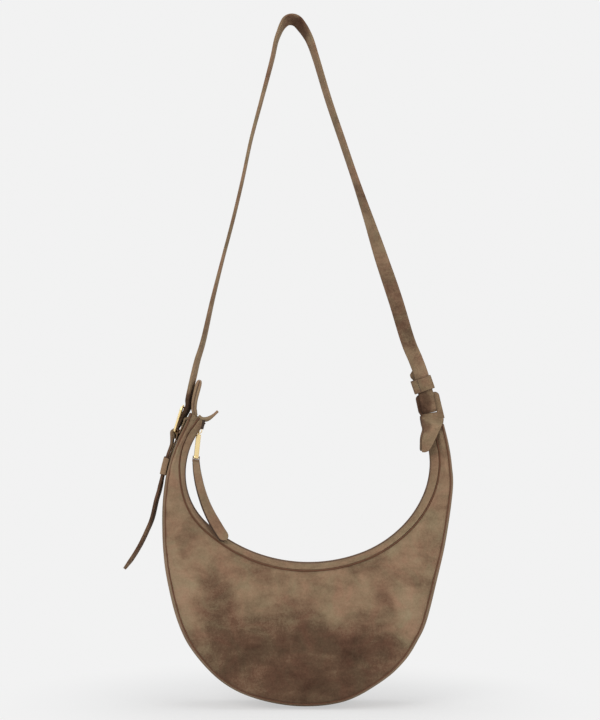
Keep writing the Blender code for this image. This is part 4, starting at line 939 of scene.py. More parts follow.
@dataclass
class BagBody:
    """The leather shell, its seams and the cloth pouch inside."""

    form: BagForm = field(default_factory=BagForm)
    rows: int = 260
    panel_steps: int = 45
    seam_gap: float = 0.00028
    seam_cord: float = 0.0008
    seam_proud: float = 0.0003
    sag: float = 0.0011
    folds: tuple = ((17.0, 21.0, 1.15), (46.0, 60.0, 0.38))
    free_edge: float = 0.02
    seam_dip: float = 0.0011
    dip_width: float = 0.0030
    cloth_cap: float = 0.0035
    pouch_span: tuple = (0.13, 0.87)
    pocket_span: tuple = (0.38, 0.64)
    pocket_room: tuple = (0.16, 0.22)
    cloth_frames: int = 22
    # mottling of the nap, and in the broad dark patch low in the middle partly painted shade where the panel
    # curves under
    front_clouds_and_shade: tuple = (
        ((0.008, -0.676), (0.146, 0.089), -2.0, -0.34), ((-0.045, -0.656), (0.030, 0.022), 14.0, -0.06),
        ((0.020, -0.642), (0.050, 0.020), 0.0, -0.06), ((-0.080, -0.592), (0.028, 0.044), -20.0, -0.13),
        ((-0.106, -0.533), (0.018, 0.036), 6.0, -0.15), ((0.143, -0.540), (0.018, 0.030), -24.0, -0.14),
        ((0.112, -0.590), (0.042, 0.032), -30.0, -0.09), ((0.070, -0.648), (0.036, 0.018), 8.0, -0.06),
        ((-0.008, -0.594), (0.060, 0.016), 4.0, 0.06), ((0.040, -0.566), (0.070, 0.014), 12.0, 0.05),
        ((0.128, -0.626), (0.020, 0.046), -18.0, 0.14), ((-0.104, -0.624), (0.018, 0.040), 20.0, 0.10),
        ((-0.110, -0.580), (0.012, 0.030), 14.0, 0.10), ((-0.060, -0.556), (0.030, 0.018), -34.0, 0.05),
        ((0.002, -0.690), (0.060, 0.016), 0.0, -0.05),
    )
    back_clouds: tuple = (
        ((0.02, -0.66), (0.07, 0.03), 6.0, -0.2), ((-0.05, -0.60), (0.06, 0.03), -10.0, 0.1),
        ((0.09, -0.58), (0.04, 0.04), 0.0, -0.1),
    )

    def build(self) -> Pieces:
        """Build every piece of the body.

        Returns:
            Each piece with the CAD node that it stands for, or an empty name.
        """
        return self.shell() + self.seams() + self.pouch()

    def relief(self, grid: np.ndarray, side: int, seed: float, dips: bool = True) -> np.ndarray:
        """Let a panel's surface sag softly and dip at its seams.

        Args:
            grid: the middle surface.
            side: -1 in front, 1 behind.
            seed: an offset that gives each panel its own folds.
            dips: whether both edges dip into a seam.

        Returns:
            The moved surface.
        """
        grid = grid.copy()
        along = run_over(grid, 1)
        edge = np.minimum(along, along[:, -1:] - along)
        for (r, c), share in np.ndenumerate(np.clip(edge / self.free_edge, 0.0, 1.0) ** 1.2):
            x, _, z = grid[r, c]
            (wide, high, deep), (short, low, fine) = self.folds
            broad = noise.noise(Vector((x * wide + seed, seed, z * high)))
            crease = noise.noise(Vector((x * short, seed + 3.0, z * low + seed)))
            grid[r, c, 1] += side * share * self.sag * (deep * broad + fine * crease)
        if dips:
            grid[..., 1] -= side * self.seam_dip * np.exp(-(edge / self.dip_width) ** 2)
        return grid

    def draped(self, name: str, grid: np.ndarray, side: int) -> np.ndarray:
        """Fill a panel softly with the cloth simulation, held along its seams.

        Args:
            name: the panel's name.
            grid: its middle surface.
            side: -1 in front, 1 behind.

        Returns:
            The settled surface, no point moved by more than the cap.
        """
        pick = grid[::2, ::2]
        rows, columns = pick.shape[:2]
        cloth = linked(f"{name}_cloth", grid_mesh(f"{name}_cloth", pick))
        index = np.arange(rows * columns).reshape(rows, columns)
        rim = np.unique(np.concatenate([index[:, 0], index[:, -1], index[0], index[-1]]))
        cloth.vertex_groups.new(name="held").add(rim.tolist(), 1.0, "REPLACE")
        drape = cloth.modifiers.new("drape", "CLOTH")
        tuned(drape.settings, quality=6, mass=0.35, tension_stiffness=25.0, compression_stiffness=12.0,
              shear_stiffness=8.0, bending_stiffness=3.0, shrink_min=-0.012, vertex_group_mass="held",
              use_pressure=True, uniform_pressure_force=1.2 * side)
        drape.settings.effector_weights.gravity = 0.25
        drape.collision_settings.use_self_collision = False
        tuned(drape.point_cache, frame_start=1, frame_end=self.cloth_frames)
        scene = bpy.context.scene
        for frame in range(1, self.cloth_frames + 1):
            scene.frame_set(frame)
        seen = cloth.evaluated_get(bpy.context.evaluated_depsgraph_get())
        places = np.empty(pick.size, np.float32)
        seen.data.vertices.foreach_get("co", places)
        moved = places.reshape(pick.shape) - pick
        bpy.data.objects.remove(cloth)
        scene.frame_set(1)
        size = np.linalg.norm(moved, axis=2, keepdims=True)
        moved *= np.minimum(1.0, self.cloth_cap / np.maximum(size, 1e-9))
        moved[..., 1] = side * np.maximum(side * moved[..., 1], 0.0)
        log.info("%s settled, its largest move %.2f mm", name, 1000.0 * float(size.max()))
        down = np.linspace(0, rows - 1, len(grid))
        across = np.linspace(0, columns - 1, grid.shape[1])
        full = sampled(moved.reshape(rows, -1), np.arange(rows), down).reshape(-1, columns, 3)
        return grid + np.stack([sampled(row, np.arange(columns), across) for row in full])

    def shell(self) -> Pieces:
        """The two panels, the gusset and the two mouth bands."""
        form = self.form
        inset = form.leather / 2 + self.seam_gap
        cut = Section(form, self.rows)
        front = Suede("suede_front", clouds=self.front_clouds_and_shade)
        back = Suede("suede_back", clouds=self.back_clouds)
        # the mouth bands get painted shade on the zip channel's wall and turned edge
        rim_shaded = RimShadedSuede("suede_band", mottle=0.7, rim=form.channel_half + form.channel_edge + form.gap)
        made = []
        for (label, side), finish, seed in zip(FRONT_AND_BACK, (front, back), (2.3, 7.1)):
            node = f"{label}_panel"
            grid = self.relief(self.draped(node, cut.panel(side, self.panel_steps, inset), side), side, seed)
            made.append((hide_sheet(f"{node}_leather", grid, form.leather, finish, side), node))
            node = f"mouth_band_{label}"
            band = cut.mouth_band(side, inset)
            made.append((hide_sheet(f"{node}_leather", band, form.leather, rim_shaded, side), node))
        strip = cut.gusset(29, inset)
        strip[..., 2] = np.maximum(strip[..., 2], form.flat_foot - form.tip_drop - form.height)
        pale = Suede("suede_gusset", mottle=0.8)
        return made + [(hide_sheet("gusset_leather", strip, form.leather, pale, -1), "gusset")]

    def seams(self) -> Pieces:
        """The painted cords that lie in the outer seams and the mouth seams."""
        cut = Section(self.form, 200)
        paint = EdgePaint("seam_paint")
        made = []
        for label, side in FRONT_AND_BACK:
            lines = [lifted(seam, side * (half + self.seam_proud))
                     for seam, half in ((cut.outer_seam, cut.half_depth), (cut.mouth_seam, cut.mouth_half))]
            cord = Trees.grow(f"seam_cord_{label}", Growth.CORD, lines, paint, Radius=self.seam_cord)
            made.append((cord, ""))
        return made

    def pouch(self) -> Pieces:
        """The lining and its slip pocket."""
        form = self.form
        cloth = Cloth("lining_weave")
        cut = Section(form, 90, *self.pouch_span)
        sunk = form.leather / 2 + 2 * form.gap + form.lining / 2
        inset = form.lining / 2 + self.seam_gap
        sheets = []
        for label, side in FRONT_AND_BACK:
            grid = cut.panel(side, 20, inset, sunk + 6 * form.gap, form.zip_depth, form.leather + form.lining)
            sheets.append((f"lining_{label}", self.relief(grid, side, 11.0 + side, False), side))
        inset = form.leather + form.lining + 10 * form.gap
        sheets.append(("lining_gusset", cut.gusset(11, inset, sunk + 3 * form.gap), -1))
        cut = Section(form, 40, *self.pocket_span)
        top, foot = (share * float(cut.reach.mean()) for share in self.pocket_room)
        sunk = form.leather / 2 + 14 * form.gap + 3 * form.lining / 2
        sheets.append(("slip_pocket", cut.panel(1, 16, form.lining, sunk, top, foot), 1))
        return [(hide_sheet(f"{node}_cloth", grid, form.lining, cloth, side, CLOTH_EDGE), node)
                for node, grid, side in sheets]


@dataclass
class Zip:
    """The zip's tapes and coils in the mouth's channel, and the leather pull tab under its puller."""

    form: BagForm = field(default_factory=BagForm)
    teeth_inner: float = 0.0008
    teeth_width: float = 0.0024
    teeth_thickness: float = 0.0022
    pitch: float = 0.0016
    stop: float = 0.003
    tape: float = 0.0007
    slider_length: float = 0.0125
    slider_plate: float = 0.0011
    bail_stand: float = 0.0013
    puller_hang: float = 264.0
    puller_length: float = 0.0280
    eye_radius: float = 0.0019
    knuckle_length: float = 0.0052
    tab_length: float = 0.0890
    tab_top: float = 0.0072
    tab_width: float = 0.0122
    tab_layer: float = 0.0013
    tab_crown: float = 0.00015
    tab_inset: float = 0.0002
    tab_full_share: float = 0.75
    tab_turn: float = 32.0
    tab_turn_shares: tuple = (0.07, 0.35)
    coil_points: int = 500
    coil_lag: int = 2
    coil_sunk: float = 0.00001
    tab_forward: float = 0.0175
    tab_shares: tuple = ((0.0, 0.0), (0.016, -0.142), (0.052, -0.318), (0.110, -0.494), (0.175, -0.635),
                         (0.257, -0.776), (0.357, -0.929))

    def along(self, depth: float, count: int = 400) -> np.ndarray:
        """The zip's line at a depth under the rim, between its stops."""
        dense, _ = self.form.rim(900, depth)
        skip = math.ceil((self.stop + 2 * self.form.gap) / np.linalg.norm(dense[1] - dense[0]))
        return even_steps(dense[skip:-skip], count, 2)

    def build(self) -> Pieces:
        """Tapes and coils, which stay with the bag."""
        form = self.form
        cloth = Cloth("zip_tape_weave", (0.040, 0.028, 0.022, 1.0), 0.0005, 0.8)
        coil = Coil("zip_coil")
        inner = self.teeth_inner + self.teeth_width + form.gap
        outer = form.channel_half - form.leather / 2 - form.gap
        line = self.along(form.zip_depth)
        coils = {-1: self.along(form.zip_depth, self.coil_points),
                 1: self.along(form.zip_depth + self.coil_sunk, self.coil_points)[self.coil_lag:]}
        made = []
        for label, side in FRONT_AND_BACK:
            grid = np.stack([lifted(line, side * y) for y in np.linspace(inner, outer, 6)], axis=1)
            made.append((hide_sheet(f"zip_tape_{label}_weave", grid, self.tape, cloth, side, CLOTH_EDGE),
                         f"zip_tape_{label}"))
            path = lifted(coils[side], side * (self.teeth_inner + self.teeth_width / 2))
            made.append((Trees.grow(f"zip_coil_{label}", Growth.COIL, [path], coil, Pitch=self.pitch,
                                    Long=0.62 * self.pitch, Wide=self.teeth_width, High=self.teeth_thickness),
                         f"zip_teeth_{label}"))
        return made

    def pivot(self) -> tuple[Vector, Vector]:
        """The way the puller hangs, and the pull tab's pivot."""
        form = self.form
        radius = form.mouth_arcs[0][0] * form.width + form.zip_depth
        along = self.stop + 4 * form.gap + self.slider_length / 2
        angle = math.radians(form.mouth_start_angle) + along / radius
        top = radius - self.teeth_thickness / 2 - form.gap - self.slider_plate
        place = form.mouth_centre() + ray(angle) * (top - self.bail_stand)
        turn = math.radians(self.puller_hang)
        hang = Vector((math.cos(turn), 0.0, math.sin(turn)))
        return hang, Vector((place[0], 0.0, place[1])) + hang * self.puller_length

    def pull_tab(self) -> Pieces:
        """The two leather layers of the pull tab with the painted edge between them."""
        hang, foot = self.pivot()
        start = foot + hang * (self.eye_radius + self.knuckle_length / 2 - self.tab_top / 5)
        rows = [(start.x + across * self.tab_length, -self.tab_forward * abs(fall) ** 1.3,
                 start.z + fall * self.tab_length) for across, fall in self.tab_shares]
        line = smooth_through(rows, 90)
        place = np.linspace(0.0, 1.0, len(line))
        first, reach = self.tab_turn_shares
        turn = np.radians(self.tab_turn) * np.clip((place - first) / reach, 0.0, 1.0)
        wide = unit(beside(line)) * np.cos(turn)[:, None] + np.outer(np.sin(turn), (0.0, 1.0, 0.0))
        full = np.clip(place / self.tab_full_share, 0.0, 1.0)
        grown = self.tab_top + (self.tab_width - self.tab_top) * full
        from_tip = np.clip((1.0 - place) * self.tab_length / (self.tab_width / 2), 0.0, 1.0)
        half = grown / 2 * round_end(1.0 - from_tip, 2, 0.02)
        shift = (self.tab_layer + self.form.gap) / 2
        suede = EdgedSuede("suede_pull_tab", mottle=0.6, paint=(0.060, 0.036, 0.025, 1.0), painted=0.0005)
        made = [(ribbon(name, line, wide, half, self.tab_layer, away, suede, self.tab_crown), node)
                for name, node, away in (("pull_tab_face", "pull_tab_front", -shift),
                                         ("pull_tab_rear", "pull_tab_back", shift))]
        aside = line - wide * (0.35 * self.tab_layer)
        paint = EdgePaint("tab_paint", (0.050, 0.030, 0.021, 1.0))
        return made + [(ribbon("pull_tab_edge", aside[2:-1], wide[2:-1], half[2:-1] - self.tab_inset,
                               0.9 * self.tab_layer, 0.0, paint), "")]


@dataclass
class Strap:
    """The shoulder strap from its folded end at the right tab over the crown to the buckle."""

    form: BagForm = field(default_factory=BagForm)
    width: float = 0.0150
    layer: float = 0.0012
    spread_share: float = 0.8358
    drop_share: float = 0.9912
    fold_length: float = 0.0425
    fold_shift: float = 0.0085
    fold_bend: int = 6
    slit_share: float = 0.5756
    leg_reach: float = 2.6
    end_share: float = 0.66
    end_reach: float = 0.008
    keeper_offset_share: float = 0.12
    keeper_tilt: float = 7.0
    plate: float = 0.0011
    plate_rise: float = 0.0176
    plate_fall: float = 0.0093
    plate_left: float = 0.0113
    plate_right: float = 0.0136
    plate_corner: float = 0.0045
    lean: float = 12.0
    keeper: float = 0.0012
    keeper_rise: float = 0.0260
    keeper_height: float = 0.0142
    bend_reach: float = 0.0100
    shares: tuple = (
        (0.563, 0.958, 0.0), (0.5445, 0.912, 0.0), (0.5205, 0.8705, 0.0), (0.4866, 0.8187, 2.0),
        (0.4368, 0.715, 10.0), (0.381, 0.6114, 30.0), (0.327, 0.5078, 56.0), (0.271, 0.4041, 70.0),
        (0.2153, 0.3005, 72.0), (0.1594, 0.1969, 72.0), (0.1097, 0.0933, 71.0), (0.0849, 0.0466, 66.0),
        (0.0662, 0.0233, 60.0), (0.0497, 0.0078, 54.0), (0.030, -0.0068, 50.0), (0.0080, -0.0120, 52.0),
        (-0.0140, -0.0085, 60.0), (-0.0310, 0.0040, 72.0), (-0.0440, 0.0207, 79.0), (-0.0585, 0.0466, 82.0),
        (-0.0745, 0.0933, 83.0), (-0.118, 0.1969, 86.0), (-0.1615, 0.3005, 88.0), (-0.1967, 0.4041, 88.0),
        (-0.236, 0.5078, 88.0), (-0.2795, 0.6114, 88.0), (-0.3209, 0.715, 84.0), (-0.3582, 0.8187, 79.0),
        (-0.383, 0.8705, 76.0), (-0.3988, 0.912, 74.0), (-0.4155, 0.9585, 74.0), (-0.4200, 0.974, 74.0),
    )
    # painted shade on the strap: under its crown, where it folds through the tab, and from the buckle down
    # the tail
    clouds: tuple = (
        ((0.009, -0.005), (0.013, 0.022), -35.0, -0.42), ((0.137, -0.397), (0.015, 0.019), 0.0, -0.30),
        ((0.122, -0.338), (0.018, 0.040), -20.0, -0.15), ((0.100, -0.270), (0.020, 0.060), -20.0, -0.12),
        ((-0.108, -0.412), (0.020, 0.036), -17.0, -0.40), ((-0.134, -0.490), (0.034, 0.110), -20.0, -0.36),
        ((-0.150, -0.560), (0.040, 0.060), -30.0, -0.20),
    )

    def finish(self) -> Suede:
        """The strap's suede, with painted shade where it folds through the tab, at its crown and from the
        buckle down.
        """
        return Suede("suede_strap", mottle=1.2, clouds=self.clouds)

    def keeper_finish(self) -> EdgedSuede:
        """The suede of both keepers, a little yellower than the strap's."""
        return EdgedSuede("suede_keeper", light=(0.330, 0.238, 0.150, 1.0), middle=(0.240, 0.165, 0.102, 1.0),
                          mottle=1.2)

    def total(self) -> float:
        """Both layers with the gap between them."""
        return 2 * self.layer + self.form.gap

    def point(self, share_x: float, share_z: float) -> np.ndarray:
        """A point of the strap's line, x and z, from shares of its spread and drop."""
        return np.array([share_x * self.spread_share * self.form.width,
                         -share_z * self.drop_share * self.form.tip_drop])

    def slit(self) -> tuple[np.ndarray, np.ndarray, np.ndarray]:
        """The slit's top edge in the right tab, the way up and the way across, x and z."""
        turn = math.radians(self.lean)
        up = np.array([-math.sin(turn), math.cos(turn)])
        return self.point(self.slit_share, 1.0) + up * self.total() / 2, up, np.array([up[1], -up[0]])

    def hinge(self) -> tuple[Vector, Vector]:
        """The two points of the axis that the bag swings on."""
        slit, up, _ = self.slit()
        ends = (self.point(*self.shares[-1][:2]), slit - up * (self.plate_fall + self.total() / 2))
        return tuple(Vector((x, 0.0, z)) for x, z in ends)

    def bend(self) -> float:
        """The strap's bend round the tab's foot."""
        return self.plate + self.form.gap / 2 + self.form.gap + self.total() / 2

    def leg_depth(self, rise: np.ndarray | float) -> np.ndarray | float:
        """How far before or behind the tab the strap lies at a rise above the slit."""
        close = self.total() / 2 + self.form.gap
        low = self.plate_rise + 2 * self.form.gap
        high = self.keeper_rise + self.keeper_height
        return self.bend() + (close - self.bend()) * np.clip((rise - low) / (high - low), 0.0, 1.0)

    def line(self) -> tuple[np.ndarray, np.ndarray]:
        """The strap's middle line and the way across it."""
        slit, up, across = self.slit()
        bend = self.bend()
        points = []
        for share in np.linspace(1.0, 0.08, 30):
            aside = across * (self.fold_shift * share**self.fold_bend)
            place = slit + up * (self.fold_length * share) - aside
            points.append([place[0], float(self.leg_depth(self.fold_length * share)), place[1]])
        for turn in np.linspace(0.0, math.pi, 17):
            place = slit - up * (bend * math.sin(turn))
            points.append([place[0], bend * math.cos(turn), place[1]])
        leg = []
        for share_x, share_z, twist in self.shares:
            x, z = self.point(share_x, share_z)
            rise = (z - slit[1]) if share_x > 0 else 1.0
            near = min(1.0, max(0.0, self.leg_reach - rise / self.fold_length))
            leg.append([x, -float(self.leg_depth(rise) * near), z, twist])
        leg = smooth_through(leg, 620)
        turn = np.radians(leg[:, 3])[:, None]
        wide = -unit(beside(leg[:, :3])) * np.cos(turn) - np.sin(turn) * (0.0, 1.0, 0.0)
        flat = np.tile((across[0], 0.0, across[1]), (len(points), 1))
        return np.vstack([points, leg[:, :3]]), np.vstack([flat, wide])

    def join(self) -> tuple[np.ndarray, np.ndarray, int]:
        """The strap's line, the way across it, and the point where the tail's pieces take over."""
        line, wide = self.line()
        near = (line[:, 0] < 0.0) & (line[:, 2] < self.hinge()[0].z + self.bend_reach)
        return line, wide, int(np.argmax(near))

    def build(self) -> Pieces:
        """Both layers of the strap with the edge between them, down to where the tail begins."""
        line, wide, last = self.join()
        line, wide = line[:last + 1], wide[:last + 1]
        half = self.width / 2 * np.clip(self.end_share + run_along(line) / self.end_reach, 0.0, 1.0)
        return doubled("strap", line, wide, half, self.layer, self.form.gap, self.finish(), -1)


@dataclass
class LeftEnd:
    """What joins the strap to the left horn: chape, buckle, tail, keeper, ears and the zip's leaf."""

    form: BagForm = field(default_factory=BagForm)
    strap: Strap = field(default_factory=Strap)
    wire: float = 0.0012
    length: float = 0.0268
    side: float = 0.0009
    drop: float = 0.0265
    lean: float = 17.0
    turn: float = 19.0
    chape: float = 0.0012
    chape_width: float = 0.0134
    chape_fold: float = 0.0080
    chape_length: float = 0.0452
    chape_ease: float = 0.8
    low_turn_share: float = 0.3
    bend_below: float = 0.6
    prong_wire: float = 0.00075
    slot_share: float = 0.86
    slot_low: float = 0.9
    corner_share: float = 2.2
    prong_wrap: float = 125.0
    keeper: float = 0.0012
    keeper_drop: float = 0.0362
    keeper_height: float = 0.0175
    keeper_bow: float = 0.0003
    keeper_flat: float = 0.93
    tail_length: float = 0.098
    tail_turn: float = 8.0
    tail_tip: float = 0.35
    tail_clear: float = 0.0008
    tail_falls: tuple = (0.002, 0.02)
    tail_rest: float = 0.4
    tail_shares: tuple = ((0.0, 0.0), (-0.034, -0.155), (-0.066, -0.265), (-0.112, -0.460), (-0.170, -0.600),
                          (-0.240, -0.745), (-0.325, -0.885), (-0.407, -0.997))
    ear_width: float = 0.0132
    ear_layer: float = 0.0024
    ear_height: float = 0.0345
    ear_shares: tuple = ((0.128, -0.151), (0.118, 0.03), (0.105, 0.15), (0.128, 0.39), (0.200, 0.693),
                         (0.267, 0.936), (0.285, 1.0))
    zip_end: tuple = ((0.0146, -0.0070), (0.0140, -0.0112), (0.0126, -0.0165))
    leaf_width: float = 0.0120
    leaf_layer: float = 0.0030
    leaf_length: float = 0.0287
    leaf_shares: tuple = ((-0.235, 0.262), (-0.109, 0.145), (0.083, 0.150), (0.292, 0.275), (0.473, 0.440))

    def horn(self, fall: float, lift: float) -> np.ndarray:
        """A point beside the horn: a fall below the swing's axis, and a lift off the gusset's crown."""
        crown = self.form.crown(CROWN_POINTS)
        way = tangents(crown)
        k = int(np.argmin(np.abs(crown[:CROWN_POINTS // 2, 1] - (self.strap.hinge()[0].z - fall))))
        return crown[k] + np.array([way[k, 1], -way[k, 0]]) * lift

    def lifts(self) -> tuple[float, float, float, float, float]:
        """Distances off the crown of the chape, the bar, the chape's fold, the tail, and the tail over it."""
        gap = self.form.gap
        chape = self.form.leather / 2 + gap + self.chape / 2
        bar = chape + self.chape / 2 + gap + self.wire
        fold = bar + self.wire + gap + self.chape / 2
        above = self.chape / 2 + gap + self.strap.total() / 2
        return chape, bar, fold, chape + above, fold + above

    def closed(self) -> float:
        """Distance off the crown of the chape's fold where it lies on the chape."""
        return self.lifts()[0] + self.chape + 2 * self.form.gap

    def bars(self) -> tuple[np.ndarray, np.ndarray, np.ndarray, np.ndarray]:
        """The middles of the buckle's low and high bars, the way up and the way outwards."""
        low = self.horn(self.drop + self.length / 3, self.lifts()[1])
        up = ray(math.radians(90.0 - self.lean))
        return low, low + up * self.length, up, np.array([-up[1], up[0]])

    def fall(self) -> float:
        """How far the buckle's low bar lies below the swing's axis."""
        return self.strap.hinge()[0].z - self.bars()[0][1]

    def tail_line(self) -> np.ndarray:
        """The tail from the swing's axis, through the buckle and down, hanging free."""
        gap = self.form.gap
        _, _, fold, tail, over = self.lifts()
        left = self.strap.hinge()[0]
        low, high, up, outward = self.bars()
        fall = self.fall()
        points = [(left.x, left.z), high - outward * (self.wire + gap + self.strap.total() / 2)]
        stand = self.wire + self.chape_ease * self.chape + self.strap.total() / 2 + gap
        points += [low + (up * math.sin(turn) + outward * math.cos(turn)) * stand
                   for turn in np.radians((60.0, 35.0, 10.0))]
        points.append(self.horn(fall + self.chape_fold * self.tail_rest, over + 2 * gap))
        points.append(self.horn(fall + self.chape_fold, self.closed() + over - fold + 2 * gap))
        first = fall + self.chape_fold + self.tail_rest * self.strap.width
        last = fall + self.chape_length + gap
        points += [self.horn(place, tail + gap) for place in np.linspace(first, last, 5)]
        end = points.pop()
        points += [end + np.array(share) * self.tail_length for share in self.tail_shares]
        return hung(points, 200)

    def build(self) -> Pieces:
        """Every leather piece of the left end that stays with the bag."""
        return [self.chape_piece(), self.keeper_piece()] + self.ears()

    def bend(self) -> tuple[Vector, Vector]:
        """Where the strap starts to turn with the bag and where it has turned with it fully."""
        left, right = self.strap.hinge()
        up = (right - left).normalized().cross(Vector((0.0, 1.0, 0.0))).normalized()
        return left + up * self.strap.bend_reach, left - up * (self.bend_below * self.strap.bend_reach)

    def tail(self) -> Pieces:
        """The strap's last stretch and its tail in two layers with the edge between them, slotted."""
        rail, across, last = self.strap.join()
        rail, across = rail[last:], across[last:]
        hang = self.tail_line()
        line = even_steps(np.vstack([rail[rail[:, 2] > hang[0, 2] + self.tail_clear], hang]), 260)
        steps = run_along(line)
        grown = np.minimum(1.0, self.tail_tip + (steps[-1] - steps) / self.strap.width)
        half = self.strap.width / 2 * grown
        low, high, _, _ = self.bars()
        held = self.keeper_drop - low[1]
        near, far = self.tail_falls
        falls = (-high[1], -low[1], held - self.keeper_height, held + near, held + far)
        turns = (self.turn, self.low_turn_share * self.turn, 0.0, 0.0, self.tail_turn)
        turn = np.radians(np.interp(-line[:, 2], falls, turns))
        above = line[:, 2] > high[1]
        turn[above] = np.interp(-line[above, 2], -rail[:, 2], np.arccos(np.clip(-across[:, 1], -1.0, 1.0)))
        wide = -beside(line) * np.sin(turn)[:, None] - np.outer(np.cos(turn), (0.0, 1.0, 0.0))
        made = doubled("tail", line, wide, half, self.strap.layer, self.form.gap, self.strap.finish(), 1)
        return [(self.slotted(piece), node) for piece, node in made]

    def turned(self, share: np.ndarray) -> np.ndarray:
        """The way across at the buckle, turned towards the camera by shares of its turn."""
        outward = self.bars()[3]
        turn = math.radians(self.turn) * share
        return np.outer(np.sin(turn), (outward[0], 0.0, outward[1])) - np.outer(np.cos(turn), (0.0, 1.0, 0.0))

    def slotted(self, piece: Piece) -> Piece:
        """Cut the prong's slot through the chape or a layer of the tail and return the piece."""
        low, _, up, outward = self.bars()
        stand = self.wire + self.form.gap + self.prong_wire
        side = self.prong_wire + self.form.gap
        start = low + outward * (stand - side) - up * (stand + side) * self.slot_low
        end = start + up * (self.length * self.slot_share)
        deep = outward * (2 * self.strap.width)
        cutter = bmesh.new()
        rings = [[cutter.verts.new((p[0], y, p[1])) for p in (start, end, end + deep, start + deep)]
                 for y in (-side, side)]
        cutter.faces.new(rings[0])
        cutter.faces.new(rings[1][::-1])
        for k, (a, b) in enumerate(zip(*rings)):
            cutter.faces.new((a, b, rings[1][(k + 1) % 4], rings[0][(k + 1) % 4]))
        bmesh.ops.recalc_face_normals(cutter, faces=cutter.faces)
        mesh = bpy.data.meshes.new("slot")
        cutter.to_mesh(mesh)
        cutter.free()
        block = linked("slot", mesh)
        baked(modified(piece, "BOOLEAN", operation="DIFFERENCE", solver="EXACT", use_self=True, object=block))
        bpy.data.objects.remove(block)
        return piece

    def chape_piece(self) -> tuple[Piece, str]:
        """The chape that is folded over the buckle's bar."""
        chape, _, fold, _, _ = self.lifts()
        low, _, up, outward = self.bars()
        fall = self.fall()
        ring = self.wire + self.form.gap + self.chape / 2
        points = [self.horn(place, chape)
                  for place in np.linspace(fall + self.chape_length, fall + self.chape_fold / 2, 8)]
        points += [low + (outward * -math.cos(turn) + up * math.sin(turn)) * ring
                   for turn in np.radians(np.linspace(20.0, 165.0, 8))]
        points += [self.horn(fall + self.chape_fold * share, fold + (self.closed() - fold) * closing)
                   for share, closing in ((0.3, 0.0), (0.65, 0.5), (1.0, 1.0))]
        line = hung(points, 120)
        wide = self.turned(1.0 - np.clip((low[1] - line[:, 2]) / self.chape_fold, 0.0, 1.0))
        half = np.full(len(line), self.chape_width / 2)
        piece = ribbon("chape_leather", line, wide, half, self.chape, 0.0, self.strap.finish())
        return self.slotted(piece), "buckle_chape"

    def keeper_piece(self) -> tuple[Piece, str]:
        """The keeper over the tail."""
        gap = self.form.gap
        low = self.form.leather / 2 + gap
        high = self.lifts()[3] + self.strap.total() / 2 + 2 * gap + self.keeper / 2
        reach = self.strap.width / 2 + 2 * gap + self.keeper / 2
        bow = np.linspace(-self.keeper_flat, self.keeper_flat, 9)
        depth = reach * np.concatenate([[-1.0] * 3, bow, [1.0] * 3])
        rows = []
        for place in np.linspace(-0.5, 0.5, 9) * self.keeper_height + self.fall() + self.keeper_drop:
            foot, top = self.horn(place, low), self.horn(place, high)
            rail = [foot + (top - foot) * share for share in (0.0, 0.4, 0.75)]
            bows = [self.horn(place, high + self.keeper_bow * (1 - y * y)) for y in bow]
            rows.append(lifted(np.array(rail + bows + rail[::-1]), depth))
        return hide_sheet("tail_keeper_leather", np.array(rows), self.keeper, self.strap.keeper_finish(), 1,
                          SMALL_EDGE, CutEdges.ENDS), "tail_keeper"

    def outer_ear(self, line: np.ndarray, half: np.ndarray, thick: np.ndarray, shift: np.ndarray,
                  suede: Finish) -> Piece:
        """The ear's outer leather, which starts low on the horn's edge and runs up into the ear."""
        above = self.strap.hinge()[0].z - line[0, 2]
        falls = np.linspace(self.drop + self.length / 3, above + 0.002, 14)
        low = lifted(np.array([self.horn(fall, self.form.leather / 2 + self.form.gap) for fall in falls]))
        grown = np.linspace(0.45, 1.0, len(low)) * thick[0]
        low = low + beside(low) * (grown / 2)[:, None]
        middle = (line - beside(line) * shift[:, None])[4:]
        joined = smooth_through(np.vstack([low, middle]), 90)
        share = np.linspace(0.0, 1.0, len(joined))
        known = np.linspace(0.0, 1.0, len(low) + len(middle))
        wide, deep = (np.interp(share, known, np.concatenate([first, rest[4:]]))
                      for first, rest in ((np.full(len(low), half[0]), half), (grown, thick)))
        across = np.tile((0.0, -1.0, 0.0), (len(joined), 1))
        return ribbon("ear_outer_leather", joined, across, wide, deep, 0.0, suede, LEATHER_CROWN)

